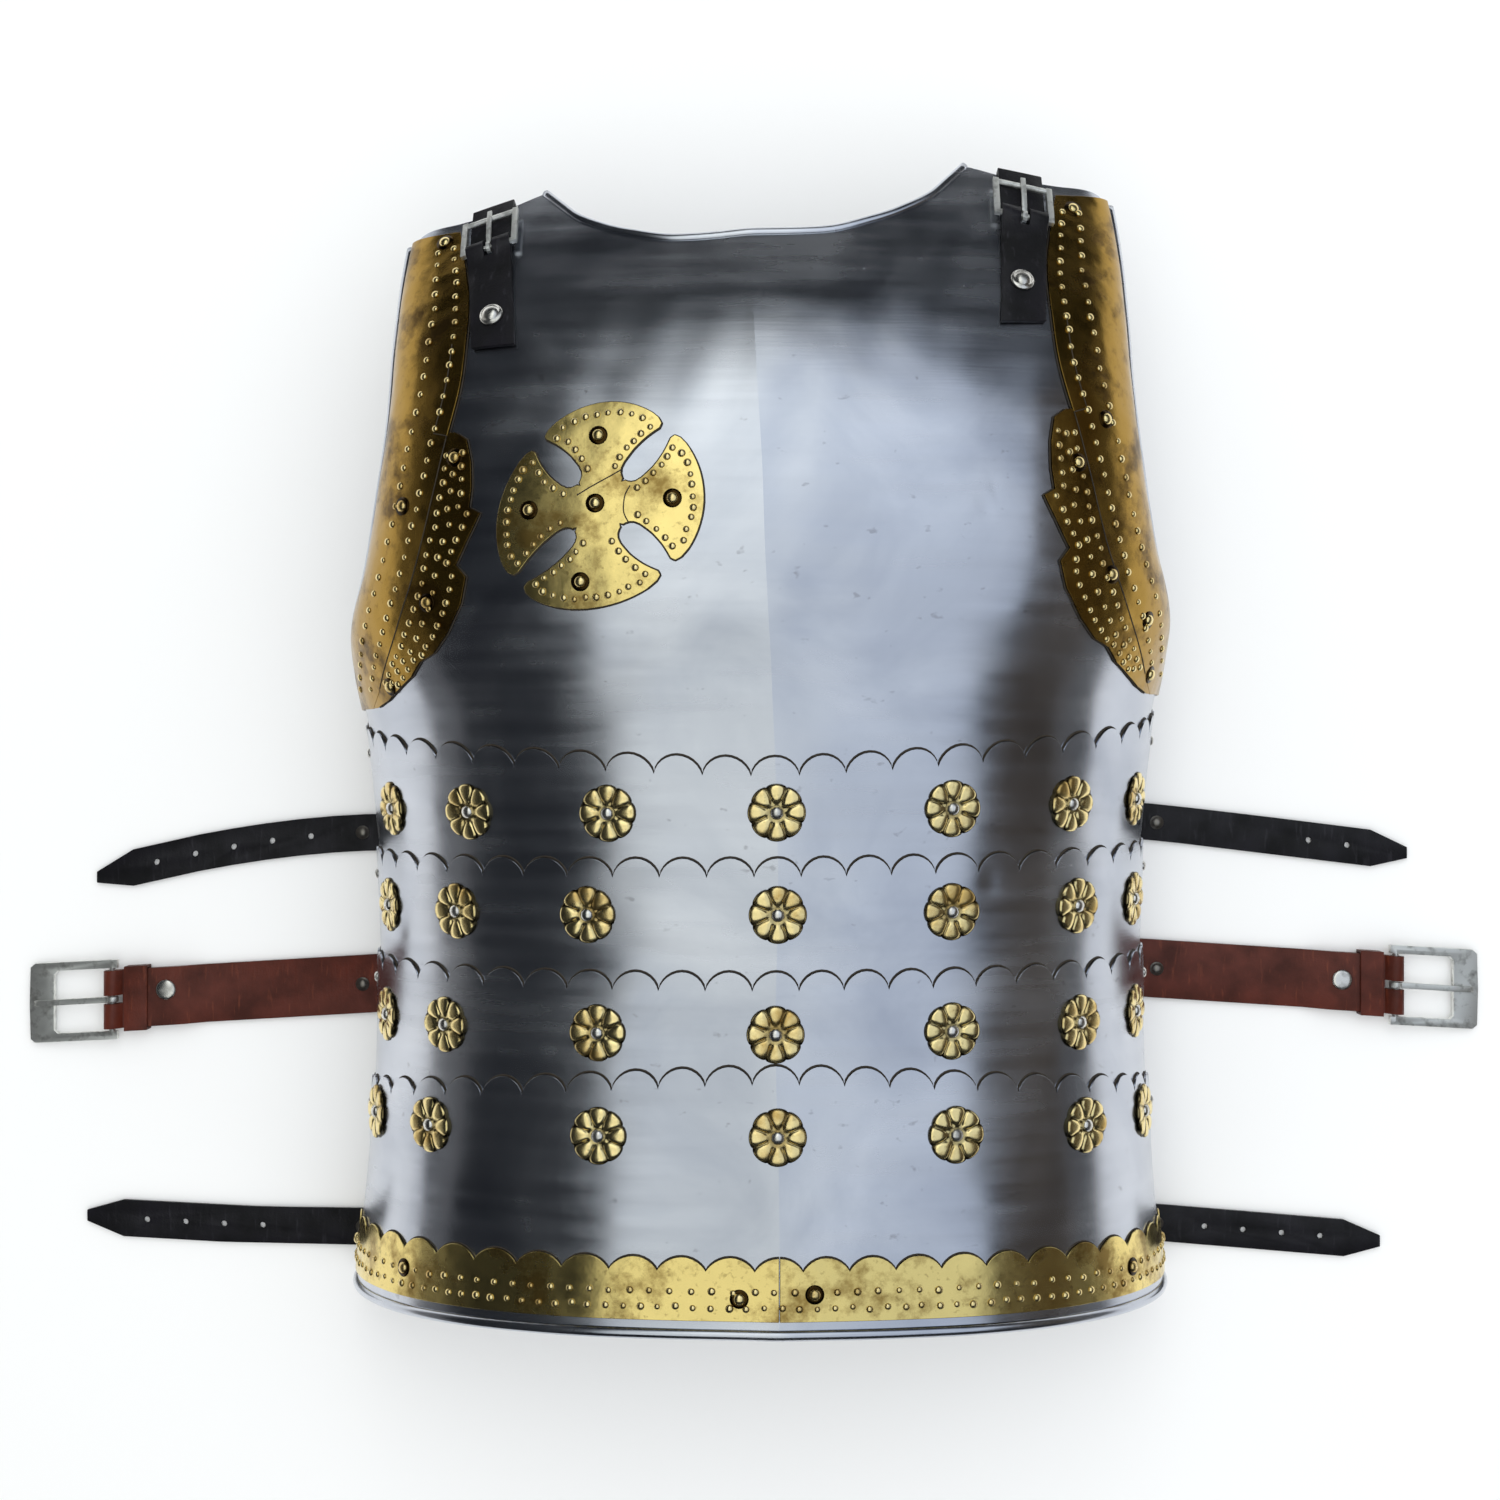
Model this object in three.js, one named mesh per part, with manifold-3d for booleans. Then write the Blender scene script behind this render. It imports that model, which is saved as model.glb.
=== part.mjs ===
// Steel breastplate of five plates with brass mounts, shoulder straps and six side straps, lying on its back.
// Millimetres. X runs across the body, Y up the body to the neck, Z out of the chest. The floor is Z = 0.
import * as THREE from 'three';
import { mergeVertices } from 'three/addons/utils/BufferGeometryUtils.js';
import Module from 'manifold-3d';

const wasm = await Module();
wasm.setup();

// Driving sizes of the body
const body_half_width = 205;
const body_depth = 158;
const neck_height = 240;
const hem_depth = 260;
const hem_side_drop = 7;
const shoulder_lean = 12;
const ridge_height = 2.5;
const ridge_width = 70;
const ridge_drift = 8;

// Driving sizes of the sheet metal
const steel_thick = 1.2;
const brass_thick = 0.8;
const lap_gap = 0.3;
const brass_gap = 0.55;
const band_gap = 1;
const neck_roll_radius = 2.2;
const armhole_roll_radius = 2;
const hem_roll_radius = 2.6;
const band_inset = 4.5;
const hem_band_width = 34;
const hem_band_inset = 6;
const seam_gap = 0.4;

// Driving sizes of the scalloped edges
const scallops_per_row = 27;
const scallop_depth = 8.5;
const lap_length = 17;
const hidden_foot = 15;
const hem_scallop_depth = 6;

// Driving sizes of the rosettes and the cross badge
const rosette_radius = 13;
const rosette_height = 2.8;
const rosette_rivet_radius = 2.8;
const rosette_petals = 8;
const rosette_gap = 0.25;
const badge_radius = 46.5;
const badge_height_on_body = 111;
const badge_place = 0.331;
const badge_turn_deg = -3;

// Driving sizes of the leather and the buckles
const strap_reach = 344;
const belt_reach = 339;
const slot_cut_height = 14;
const strap_width = 19;
const strap_thick = 2.2;
const strap_hole_radius = 1.6;
const strap_point_length = 19;
const belt_width = 30;
const belt_thick = 2.4;
const keeper_thick = 1.4;
const keeper_length = 12;
const seat_gap = 0.4;
const root_height = 24;
const shoulder_strap_width = 19;
const shoulder_strap_thick = 2;
const shoulder_strap_length = 74;
const shoulder_bar_radius = 1.2;
const shoulder_frame_width = 25;
const shoulder_frame_length = 16;
const shoulder_tail = 26;
const strap_seat = 0.5;
const shoulder_place = 0.135;
const shoulder_place_low = 0.18;
const belt_bar_radius = 1.6;
const bar_gap = 0.4;
const belt_frame_width = 41;
const belt_frame_length = 44;
const belt_frame_thick = 3;
const belt_frame_arm = 4.2;
const belt_front_bar = 13;
const belt_doubled_length = 34;
const belt_ramp = 14;
const strap_hole_pitch = 20;
const first_hole = 12;
const shoulder_fold = 14;
const shoulder_fold_end = 8;
const shoulder_bar_drop = 7;
const prong_width = 3;
const edge_height = belt_thick + seat_gap + 0.2;

// Sections up the body. y is a share of the neck height above the waist and of the hem depth below it,
// half a share of the half width, edge and crest shares of the depth, ridge a share of the ridge drift.
const body_sections = [
  { y: -1.06, half: 0.995, edge: 0, crest: 0.968, power: 2.5, ridge: 1 },
  { y: -0.77, half: 0.961, edge: 0, crest: 0.943, power: 2.5, ridge: 1 },
  { y: -0.5, half: 0.937, edge: 0, crest: 0.93, power: 2.5, ridge: 0.8 },
  { y: -0.23, half: 0.932, edge: 0, crest: 0.943, power: 2.5, ridge: 0.94 },
  { y: -0.1, half: 0.941, edge: 0, crest: 0.958, power: 2.5, ridge: 0.85 },
  { y: 0, half: 0.951, edge: -0.015, crest: 0.975, power: 2.5, ridge: 0.75 },
  { y: 0.035, half: 0.955, edge: -0.013, crest: 0.98, power: 2.5, ridge: 0.7 },
  { y: 0.083, half: 0.961, edge: 0.038, crest: 0.987, power: 2.45, ridge: 0.63 },
  { y: 0.167, half: 0.966, edge: 0.184, crest: 0.994, power: 2.4, ridge: 0.53 },
  { y: 0.258, half: 0.956, edge: 0.361, crest: 1.006, power: 2.3, ridge: 0.375 },
  { y: 0.383, half: 0.907, edge: 0.487, crest: 1.006, power: 2.3, ridge: 0.19 },
  { y: 0.517, half: 0.873, edge: 0.551, crest: 0.994, power: 2.3, ridge: 0.06 },
  { y: 0.667, half: 0.844, edge: 0.582, crest: 0.956, power: 2.3, ridge: -0.19 },
  { y: 0.833, half: 0.829, edge: 0.563, crest: 0.861, power: 2.2, ridge: -0.44 },
  { y: 1.004, half: 0.815, edge: 0.487, crest: 0.703, power: 2.2, ridge: -0.69 },
  { y: 1.21, half: 0.78, edge: 0.373, crest: 0.487, power: 2.1, ridge: -0.81 },
];

// Upper outline of the breast plate from the centre line (side 0) to the armhole (side 1).
// y is a share of the neck height.
const top_outline = [
  { side: 0, y: 0.998 },
  { side: 0.2, y: 0.998 },
  { side: 0.33, y: 1.019 },
  { side: 0.41, y: 1.04 },
  { side: 0.48, y: 1.065 },
  { side: 0.53, y: 1.094 },
  { side: 16 / 27, y: 1.131 },
  { side: 0.72, y: 1.096 },
  { side: 0.82, y: 1.081 },
  { side: 0.93, y: 1.071 },
  { side: 1, y: 1.046 },
];
const peak_side = 16 / 27;

// Upper edges of the four lames as shares of the hem depth: at the centre line, and how far they rise
// towards the sides
const lame_rows = [
  { centre: -0.0115, rise: 0.09 },
  { centre: -0.185, rise: 0.01 },
  { centre: -0.381, rise: 0.004 },
  { centre: -0.542, rise: -0.1 },
];

// Inner edge of the armhole band and outer edge of its leaf. y is a share of the neck height and place
// a share of the girth.
const band_edge = [
  { y: 0.1, place: 0.126 },
  { y: 0.135, place: 0.139 },
  { y: 0.205, place: 0.145 },
  { y: 0.3, place: 0.144 },
  { y: 0.41, place: 0.14 },
  { y: 0.58, place: 0.141 },
  { y: 0.7, place: 0.146 },
  { y: 0.79, place: 0.142 },
  { y: 0.9, place: 0.132 },
  { y: 0.97, place: 0.117 },
  { y: 1.06, place: 0.092 },
];
const leaf_edge = [
  { y: 0.101, place: 0.136 },
  { y: 0.114, place: 0.155 },
  { y: 0.132, place: 0.168 },
  { y: 0.158, place: 0.184 },
  { y: 0.186, place: 0.189 },
  { y: 0.2, place: 0.201 },
  { y: 0.235, place: 0.207 },
  { y: 0.29, place: 0.21 },
  { y: 0.34, place: 0.205 },
  { y: 0.364, place: 0.189 },
  { y: 0.41, place: 0.194 },
  { y: 0.46, place: 0.202 },
  { y: 0.472, place: 0.188 },
  { y: 0.51, place: 0.186 },
  { y: 0.56, place: 0.179 },
  { y: 0.605, place: 0.168 },
  { y: 0.62, place: 0.152 },
];

// Arms of the cross badge: radius as a share of the badge radius, half the angle of the arm in degrees,
// and how far the corners draw back as a share of the radius
const badge_arm = [
  { radius: 0.31, half_angle: 45, corner: 0 },
  { radius: 0.38, half_angle: 33, corner: 0 },
  { radius: 0.53, half_angle: 34, corner: 0 },
  { radius: 0.76, half_angle: 37.5, corner: 0 },
  { radius: 0.93, half_angle: 40.5, corner: 0.01 },
  { radius: 1, half_angle: 36, corner: 0.03 },
];

// Rosettes of each lame: place across as a share of the girth, drop below the row line in hem depths
const rosette_rows = [
  { drop: 0.095, places: [0.148, 0.249, 0.369, 0.5, 0.643, 0.755, 0.858] },
  { drop: 0.097, places: [0.132, 0.232, 0.35, 0.5, 0.644, 0.766, 0.862] },
  { drop: 0.107, places: [0.13, 0.22, 0.359, 0.5, 0.646, 0.77, 0.866] },
  { drop: 0.122, places: [0.118, 0.207, 0.36, 0.5, 0.646, 0.771, 0.872] },
];

// Side straps: side, height of the root in hem depths, reach of the tip from the centre and how far the tip
// lies above the root as shares of strap_reach, how the curve gathers towards the tip, number of holes
const inMillimetres = (entries, size) => {
  return entries.map((entry) => ({ ...entry, reach: entry.reach * size, sway: entry.sway * size }));
};
const side_straps = inMillimetres([
  { name: 'upper_strap_left', side: -1, root: -0.162, reach: 1, sway: -0.0683, bend: 1.8, holes: 5 },
  { name: 'upper_strap_right', side: 1, root: -0.138, reach: 0.9767, sway: -0.0494, bend: 1.1, holes: 2 },
  { name: 'lower_strap_left', side: -1, root: -0.95, reach: 1.0145, sway: 0.0174, bend: 2, holes: 4 },
  { name: 'lower_strap_right', side: 1, root: -0.94, reach: 0.936, sway: -0.0291, bend: 1, holes: 4 },
], strap_reach);
const belts = inMillimetres([
  { name: 'left', side: -1, root: -0.462, reach: 1, sway: -0.0254 },
  { name: 'right', side: 1, root: -0.431, reach: 0.9823, sway: -0.0271 },
], belt_reach);

// Finishes
const steel = { color: 0xb4b8bf, roughness: 0.28, metalness: 1 };
const brass = { color: 0xb5913f, roughness: 0.35, metalness: 1 };
const black_leather = { color: 0x17161a, roughness: 0.6, metalness: 0 };
const brown_leather = { color: 0x5a2a20, roughness: 0.55, metalness: 0 };
const buckle_steel = { color: 0xc9cbc8, roughness: 0.25, metalness: 1 };

const model = new THREE.Group();

function add(name, geometry, finish) {
  geometry.computeVertexNormals();
  const mesh = new THREE.Mesh(geometry, new THREE.MeshStandardMaterial(finish));
  mesh.name = name;
  model.add(mesh);
  return mesh;
}

// Joining and cutting of closed meshes
function toSolid(geometry) {
  const bare = geometry.clone();
  bare.deleteAttribute('normal');
  bare.deleteAttribute('uv');
  const merged = mergeVertices(bare, 1e-4);
  const vertProperties = new Float32Array(merged.attributes.position.array);
  const triVerts = new Uint32Array(merged.index.array);
  return new wasm.Manifold(new wasm.Mesh({ numProp: 3, vertProperties, triVerts }));
}

function toGeometry(solid) {
  const mesh = solid.getMesh();
  const geometry = new THREE.BufferGeometry();
  geometry.setAttribute('position', new THREE.BufferAttribute(new Float32Array(mesh.vertProperties), 3));
  geometry.setIndex(new THREE.BufferAttribute(new Uint32Array(mesh.triVerts), 1));
  return geometry;
}

function reshape(geometry, place) {
  const position = geometry.attributes.position;
  for (let i = 0; i < position.count; i += 1) {
    const p = place(position.getX(i), position.getY(i), position.getZ(i));
    position.setXYZ(i, p[0], p[1], p[2]);
  }
  return geometry;
}

// Smooth curve through the rows of a table, one column against another
function follow(table, key, column, at) {
  const last = table.length - 1;
  const value = Math.min(Math.max(at, table[0][key]), table[last][key]);
  let i = 0;
  while (i < last - 1 && table[i + 1][key] <= value) i += 1;
  const slope = (k) => {
    const before = table[Math.max(k - 1, 0)];
    const after = table[Math.min(k + 1, last)];
    return (after[column] - before[column]) / (after[key] - before[key]);
  };
  const span = table[i + 1][key] - table[i][key];
  const t = (value - table[i][key]) / span;
  const t2 = t * t;
  const t3 = t2 * t;
  return (2 * t3 - 3 * t2 + 1) * table[i][column] + (t3 - 2 * t2 + t) * span * slope(i)
    + (3 * t2 - 2 * t3) * table[i + 1][column] + (t3 - t2) * span * slope(i + 1);
}

function straight(table, key, column, at) {
  const last = table.length - 1;
  const value = Math.min(Math.max(at, table[0][key]), table[last][key]);
  let i = 0;
  while (i < last - 1 && table[i + 1][key] <= value) i += 1;
  const t = (value - table[i][key]) / (table[i + 1][key] - table[i][key]);
  return table[i][column] * (1 - t) + table[i + 1][column] * t;
}

// The form of the body. place runs from 0 at the left edge over 0.5 at the ridge to 1 at the right edge,
// in equal lengths of each half girth, and y is the height on the body.
const curve_steps = 160;
const known_sections = new Map();

function section(y) {
  const key = Math.round(y * 1000);
  if (known_sections.has(key)) return known_sections.get(key);
  const share = y > 0 ? y / neck_height : y / hem_depth;
  const read = (column) => follow(body_sections, 'y', column, share);
  const half = read('half') * body_half_width;
  const edge = edge_height + read('edge') * body_depth;
  const crest = edge_height + read('crest') * body_depth;
  const roundness = 2 / read('power');
  const ridge = read('ridge') * ridge_drift;
  const halves = [-1, 1].map((side) => {
    const reach = half - side * ridge;
    const x = [];
    const z = [];
    const run = [0];
    for (let i = 0; i <= curve_steps; i += 1) {
      const angle = (i / curve_steps) * Math.PI / 2;
      const out = reach * Math.sin(angle) ** roundness;
      const rise = (crest - edge) * Math.max(Math.cos(angle), 0) ** roundness;
      const keel = Math.max(1 - out / ridge_width, 0) ** 2 * ridge_height;
      x.push(ridge + side * out);
      z.push(edge + rise + keel);
      if (i > 0) run.push(run[i - 1] + Math.hypot(x[i] - x[i - 1], z[i] - z[i - 1]));
    }
    return { x, z, run, length: run[curve_steps] };
  });
  known_sections.set(key, halves);
  return halves;
}

function girth(y) {
  return section(y)[0].length + section(y)[1].length;
}

function bodyPoint(place, y) {
  const curve = section(y)[place < 0.5 ? 0 : 1];
  const run = Math.min(Math.abs(place - 0.5) * 2, 1) * curve.length;
  let low = 0;
  let high = curve_steps;
  while (high - low > 1) {
    const middle = (low + high) >> 1;
    if (curve.run[middle] <= run) low = middle;
    else high = middle;
  }
  const t = (run - curve.run[low]) / (curve.run[high] - curve.run[low]);
  const x = curve.x[low] * (1 - t) + curve.x[high] * t;
  const z = curve.z[low] * (1 - t) + curve.z[high] * t;
  const height = (y + hem_depth) / (neck_height + hem_depth);
  const lean = shoulder_lean * (x / body_half_width) * Math.max(height, 0) ** 2;
  return new THREE.Vector3(x, y + lean, z);
}

function bodyNormal(place, y) {
  const step = 0.004;
  const rise = 0.5;
  const left = bodyPoint(Math.max(place - step, 0), y);
  const right = bodyPoint(Math.min(place + step, 1), y);
  const below = bodyPoint(place, y - rise);
  const above = bodyPoint(place, y + rise);
  return right.sub(left).cross(above.sub(below)).normalize();
}

function onBody(place, y, lift) {
  return bodyPoint(place, y).addScaledVector(bodyNormal(place, y), lift);
}

// Heights of the edges, side being 0 at the ridge and 1 at the open edge
const sideOf = (place) => Math.abs(2 * place - 1);
const topEdge = (place) => straight(top_outline, 'side', 'y', sideOf(place)) * neck_height;
const hemEdge = (place) => -hem_depth - hem_side_drop * sideOf(place) ** 3;
const rowLine = (row, place) =>
  hem_depth * (lame_rows[row].centre + lame_rows[row].rise * sideOf(place) ** 1.5);

// A sheet of metal on the body: points with a place, a height and a lift, and faces seen from outside
function sheet(points, faces, thick) {
  const count = points.length;
  const positions = [];
  for (const side of [thick, 0]) {
    for (const p of points) positions.push(...onBody(p.place, p.y, p.lift + side).toArray());
  }
  const index = [];
  const edges = new Map();
  for (const [a, b, c] of faces) {
    index.push(a, b, c, c + count, b + count, a + count);
    for (const [from, to] of [[a, b], [b, c], [c, a]]) {
      if (edges.has(`${to},${from}`)) edges.delete(`${to},${from}`);
      else edges.set(`${from},${to}`, [from, to]);
    }
  }
  for (const [from, to] of edges.values()) {
    index.push(from, from + count, to + count, from, to + count, to);
  }
  const geometry = new THREE.BufferGeometry();
  geometry.setAttribute('position', new THREE.Float32BufferAttribute(positions, 3));
  geometry.setIndex(index);
  return geometry;
}

// A grid of points, rows from the top edge down and columns from left to right
function grid(rows, columns, start = 0) {
  const faces = [];
  for (let r = 0; r < rows - 1; r += 1) {
    for (let c = 0; c < columns - 1; c += 1) {
      const a = start + r * columns + c;
      const d = a + columns;
      faces.push([a, d, d + 1], [a, d + 1, a + 1]);
    }
  }
  return faces;
}

// Columns of the plates: two to a scallop on a cut edge, and below it one to a scallop and one on the ridge
const columns_per_girth = 2 * scallops_per_row;
const ridge_column = scallops_per_row;
const isMain = (column) => column % 2 === 0 || column === ridge_column;
const main_columns = [];
for (let column = 0; column <= columns_per_girth; column += 1) {
  if (isMain(column)) main_columns.push(column);
}

// A plate whose upper edge is cut in scallops, from one column to another. heights and lifts give its
// lower rows.
function scallopPlate(first, last, edge, depth, lift, heights, lifts, thick) {
  const points = [];
  const faces = [];
  const chord = 0.5 / scallops_per_row;
  const width = girth(0) * chord;
  const radius = (width * width + depth * depth) / (2 * depth);
  const swing = Math.asin(width / radius);
  const between = Math.sin(swing / 2) / Math.sin(swing);
  const arc = (place) => {
    const scallop = Math.round((place - chord) * scallops_per_row) / scallops_per_row + chord;
    const away = Math.min(Math.abs(place - scallop) / chord, 1);
    return radius - Math.sqrt(radius * radius - (away * width) ** 2);
  };
  const seam = last - first < columns_per_girth ? seam_gap / 2 / girth(-hem_depth) : 0;
  const placeOf = (column) => {
    if (column !== ridge_column) return column / columns_per_girth;
    return 0.5 + (column === first ? seam : -seam);
  };
  const onEdge = (place) => points.push({ place, y: edge(place) - arc(place), lift });
  for (let column = first; column <= last; column += 1) {
    const place = placeOf(column);
    onEdge(place);
    const share = column % 2 === 1 ? between : 1 - between;
    if (column < last) onEdge(place + (placeOf(column + 1) - place) * share);
  }
  const start = points.length;
  const mains = main_columns.filter((column) => column >= first && column <= last);
  heights.forEach((height, r) => {
    for (const column of mains) {
      points.push({ place: placeOf(column), y: height(placeOf(column)), lift: lifts[r] });
    }
  });
  for (let i = 0; i < mains.length - 1; i += 1) {
    const a = start + i;
    const from = 2 * (mains[i] - first);
    const to = 2 * (mains[i + 1] - first);
    const middle = (from + to) / 2;
    for (let t = from; t < to; t += 1) faces.push([t, t < middle ? a : a + 1, t + 1]);
    faces.push([a, a + 1, middle]);
  }
  faces.push(...grid(heights.length, mains.length, start));
  return sheet(points, faces, thick);
}

// A round bead along a row of points
function bead(points, radius, steps) {
  const shape = new THREE.Shape();
  const sides = 6;
  for (let i = 0; i < sides; i += 1) {
    const angle = (i / sides) * 2 * Math.PI;
    if (i === 0) shape.moveTo(radius, 0);
    else shape.lineTo(radius * Math.cos(angle), radius * Math.sin(angle));
  }
  const extrudePath = new THREE.CatmullRomCurve3(points);
  return new THREE.ExtrudeGeometry(shape, { steps, extrudePath, bevelEnabled: false });
}

// Breast plate
const plate_rows = [0, 0.05, 0.1, 0.16, 0.24, 0.34, 0.47, 0.6, 0.73, 0.85, 0.93, 1];
{
  const points = [];
  const low = (place) => rowLine(0, place) + 1;
  const rows = [...plate_rows].reverse().map((share) => (place) =>
    low(place) + share * (topEdge(place) - low(place)));
  rows.push((place) => rowLine(0, place) - hidden_foot);
  for (const row of rows) {
    for (const column of main_columns) {
      const place = column / columns_per_girth;
      points.push({ place, y: row(place), lift: 0 });
    }
  }
  let solid = toSolid(sheet(points, grid(rows.length, main_columns.length), steel_thick));
  const middle = steel_thick / 2;
  const neck = [];
  const neck_places = 20;
  for (let i = 0; i <= neck_places; i += 1) {
    const place = 0.5 + (i / neck_places - 0.5) * peak_side;
    neck.push(onBody(place, topEdge(place), middle));
  }
  solid = solid.add(toSolid(bead(neck, neck_roll_radius, neck_places)));
  for (const place of [0, 1]) {
    const armhole = [];
    const armhole_steps = 11;
    const underarm = neck_height / 12;
    for (let i = 0; i <= armhole_steps; i += 1) {
      const y = underarm + (topEdge(place) - underarm) * (i / armhole_steps);
      armhole.push(onBody(place, y, middle));
    }
    solid = solid.add(toSolid(bead(armhole, armhole_roll_radius, armhole_steps)));
  }
  add('breast_plate', toGeometry(solid), steel);
}

// Four lames, each over the foot of the plate above it
const lap = steel_thick + lap_gap;
for (let row = 0; row < lame_rows.length; row += 1) {
  const top = (place) => rowLine(row, place);
  const is_last = row === lame_rows.length - 1;
  const heights = [(place) => top(place) - lap_length];
  const lifts = [lap];
  if (is_last) {
    heights.push((place) => hemEdge(place) + 2 * hem_band_width, (place) => hemEdge(place) + hem_band_width);
    heights.push(hemEdge);
    lifts.push(0, 0, 0);
  } else {
    heights.push((place) => rowLine(row + 1, place) + 1, (place) => rowLine(row + 1, place) - hidden_foot);
    lifts.push(0, 0);
  }
  const plate = scallopPlate(0, columns_per_girth, top, scallop_depth, lap, heights, lifts, steel_thick);
  let solid = toSolid(plate);
  if (is_last) {
    const hem = [];
    for (let c = 0; c <= columns_per_girth; c += 2) {
      const place = c / columns_per_girth;
      hem.push(onBody(place, hemEdge(place), steel_thick / 2));
    }
    solid = solid.add(toSolid(bead(hem, hem_roll_radius, scallops_per_row)));
  }
  add(`lame_${row + 1}`, toGeometry(solid), steel);
}

// Two halves of the brass hem band, meeting on the ridge
{
  const lift = steel_thick + brass_gap;
  const top = (place) => hemEdge(place) + hem_band_width;
  const heights = [(place) => top(place) - hem_band_width / 2, (place) => hemEdge(place) + hem_band_inset];
  const half = columns_per_girth / 2;
  const make = (first, last) =>
    scallopPlate(first, last, top, hem_scallop_depth, lift, heights, [lift, lift], brass_thick);
  add('hem_band_left', make(0, half), brass);
  add('hem_band_right', make(half, columns_per_girth), brass);
}

// Armhole bands and the leaves beside them
function strip(side, heights, inner, outer, columns) {
  const points = [];
  for (const y of [...heights].reverse()) {
    for (let c = 0; c < columns; c += 1) {
      const share = side < 0 ? c / (columns - 1) : 1 - c / (columns - 1);
      const place = inner(y) * (1 - share) + outer(y) * share;
      points.push({ place: side < 0 ? place : 1 - place, y, lift: steel_thick + band_gap });
    }
  }
  return sheet(points, grid(heights.length, columns), brass_thick);
}

for (const [side, name] of [[-1, 'left'], [1, 'right']]) {
  const bandPlace = (y) => follow(band_edge, 'y', 'place', y / neck_height);
  const leafPlace = (y) => straight(leaf_edge, 'y', 'place', y / neck_height);
  const rim = (y) => band_inset / girth(y);
  const seam = (y) => bandPlace(y) + seam_gap / girth(y);
  const band_heights = [];
  const band_rows = 14;
  const low = band_edge[0].y * neck_height;
  const high = (topEdge(0) + topEdge(0.08)) / 2 - 2;
  for (let i = 0; i <= band_rows; i += 1) band_heights.push(low + (high - low) * (i / band_rows));
  add(`armhole_band_${name}`, strip(side, band_heights, rim, bandPlace, 6), brass);
  const leaf_heights = leaf_edge.map((row) => row.y * neck_height);
  add(`armhole_leaf_${name}`, strip(side, leaf_heights, seam, leafPlace, 4), brass);
}

// Cross badge on the left of the chest
{
  const lift = steel_thick + brass_gap;
  const points = [];
  const faces = [];
  const put = (radius, degrees) => {
    const angle = (degrees + badge_turn_deg) * Math.PI / 180;
    const across = radius * badge_radius * Math.sin(angle);
    const up = radius * badge_radius * Math.cos(angle);
    const half = section(badge_height_on_body)[0].length;
    points.push({ place: badge_place + across / half / 2, y: badge_height_on_body + up, lift });
    return points.length - 1;
  };
  const cells = 4;
  const hub = badge_arm[0].radius;
  const centre = put(0, 0);
  const inner = [];
  const outer = [];
  for (let i = 0; i < 4 * cells; i += 1) {
    const degrees = (i / (4 * cells)) * 360 - 45;
    inner.push(put(hub / 2, degrees));
    outer.push(put(hub, degrees));
  }
  for (let i = 0; i < inner.length; i += 1) {
    const next = (i + 1) % inner.length;
    faces.push([centre, inner[next], inner[i]]);
    faces.push([inner[i], inner[next], outer[next]], [inner[i], outer[next], outer[i]]);
  }
  for (let arm = 0; arm < 4; arm += 1) {
    let below = [];
    for (let c = 0; c <= cells; c += 1) below.push(outer[(arm * cells + c) % outer.length]);
    for (const ring of badge_arm.slice(1)) {
      const above = [];
      for (let c = 0; c <= cells; c += 1) {
        const share = (2 * c) / cells - 1;
        above.push(put(ring.radius - ring.corner * share * share, arm * 90 + share * ring.half_angle));
      }
      for (let c = 0; c < cells; c += 1) {
        faces.push([below[c], below[c + 1], above[c + 1]], [below[c], above[c + 1], above[c]]);
      }
      below = above;
    }
  }
  add('cross_badge', sheet(points, faces, brass_thick), brass);
}

// Rosettes: eight raised petals round a rivet head, fastened flat on a lame
function rosetteGeometry() {
  const notch = 0.86;
  const petal_ring = 2 * rosette_petals;
  const rings = [
    { count: petal_ring, radius: 1, height: 0 },
    { count: petal_ring, radius: 0.84, height: 0.75 },
    { count: rosette_petals, radius: rosette_rivet_radius / rosette_radius, height: 0.95 },
  ];
  const positions = [];
  for (const ring of rings) {
    for (let i = 0; i < ring.count; i += 1) {
      const angle = (i / ring.count) * 2 * Math.PI;
      const drawn_in = ring.count === petal_ring && i % 2 === 1 ? notch : 1;
      const reach = rosette_radius * ring.radius * drawn_in;
      positions.push(reach * Math.cos(angle), reach * Math.sin(angle), ring.height * rosette_height);
    }
  }
  const inner = 2 * petal_ring;
  const crown = inner + rosette_petals;
  const foot = crown + 1;
  positions.push(0, 0, rosette_height * 1.3, 0, 0, 0);
  const index = [];
  for (let i = 0; i < petal_ring; i += 1) {
    const next = (i + 1) % petal_ring;
    const outer = petal_ring + i;
    const outer_next = petal_ring + next;
    index.push(i, next, outer_next, i, outer_next, outer, next, i, foot);
    const here = inner + Math.floor(i / 2);
    const there = inner + ((Math.floor(i / 2) + 1) % rosette_petals);
    if (i % 2 === 0) index.push(outer, outer_next, here);
    else index.push(outer, there, here, outer, outer_next, there);
  }
  for (let i = 0; i < rosette_petals; i += 1) {
    index.push(inner + i, inner + ((i + 1) % rosette_petals), crown);
  }
  const geometry = new THREE.BufferGeometry();
  geometry.setAttribute('position', new THREE.Float32BufferAttribute(positions, 3));
  geometry.setIndex(index);
  return geometry;
}

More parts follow.
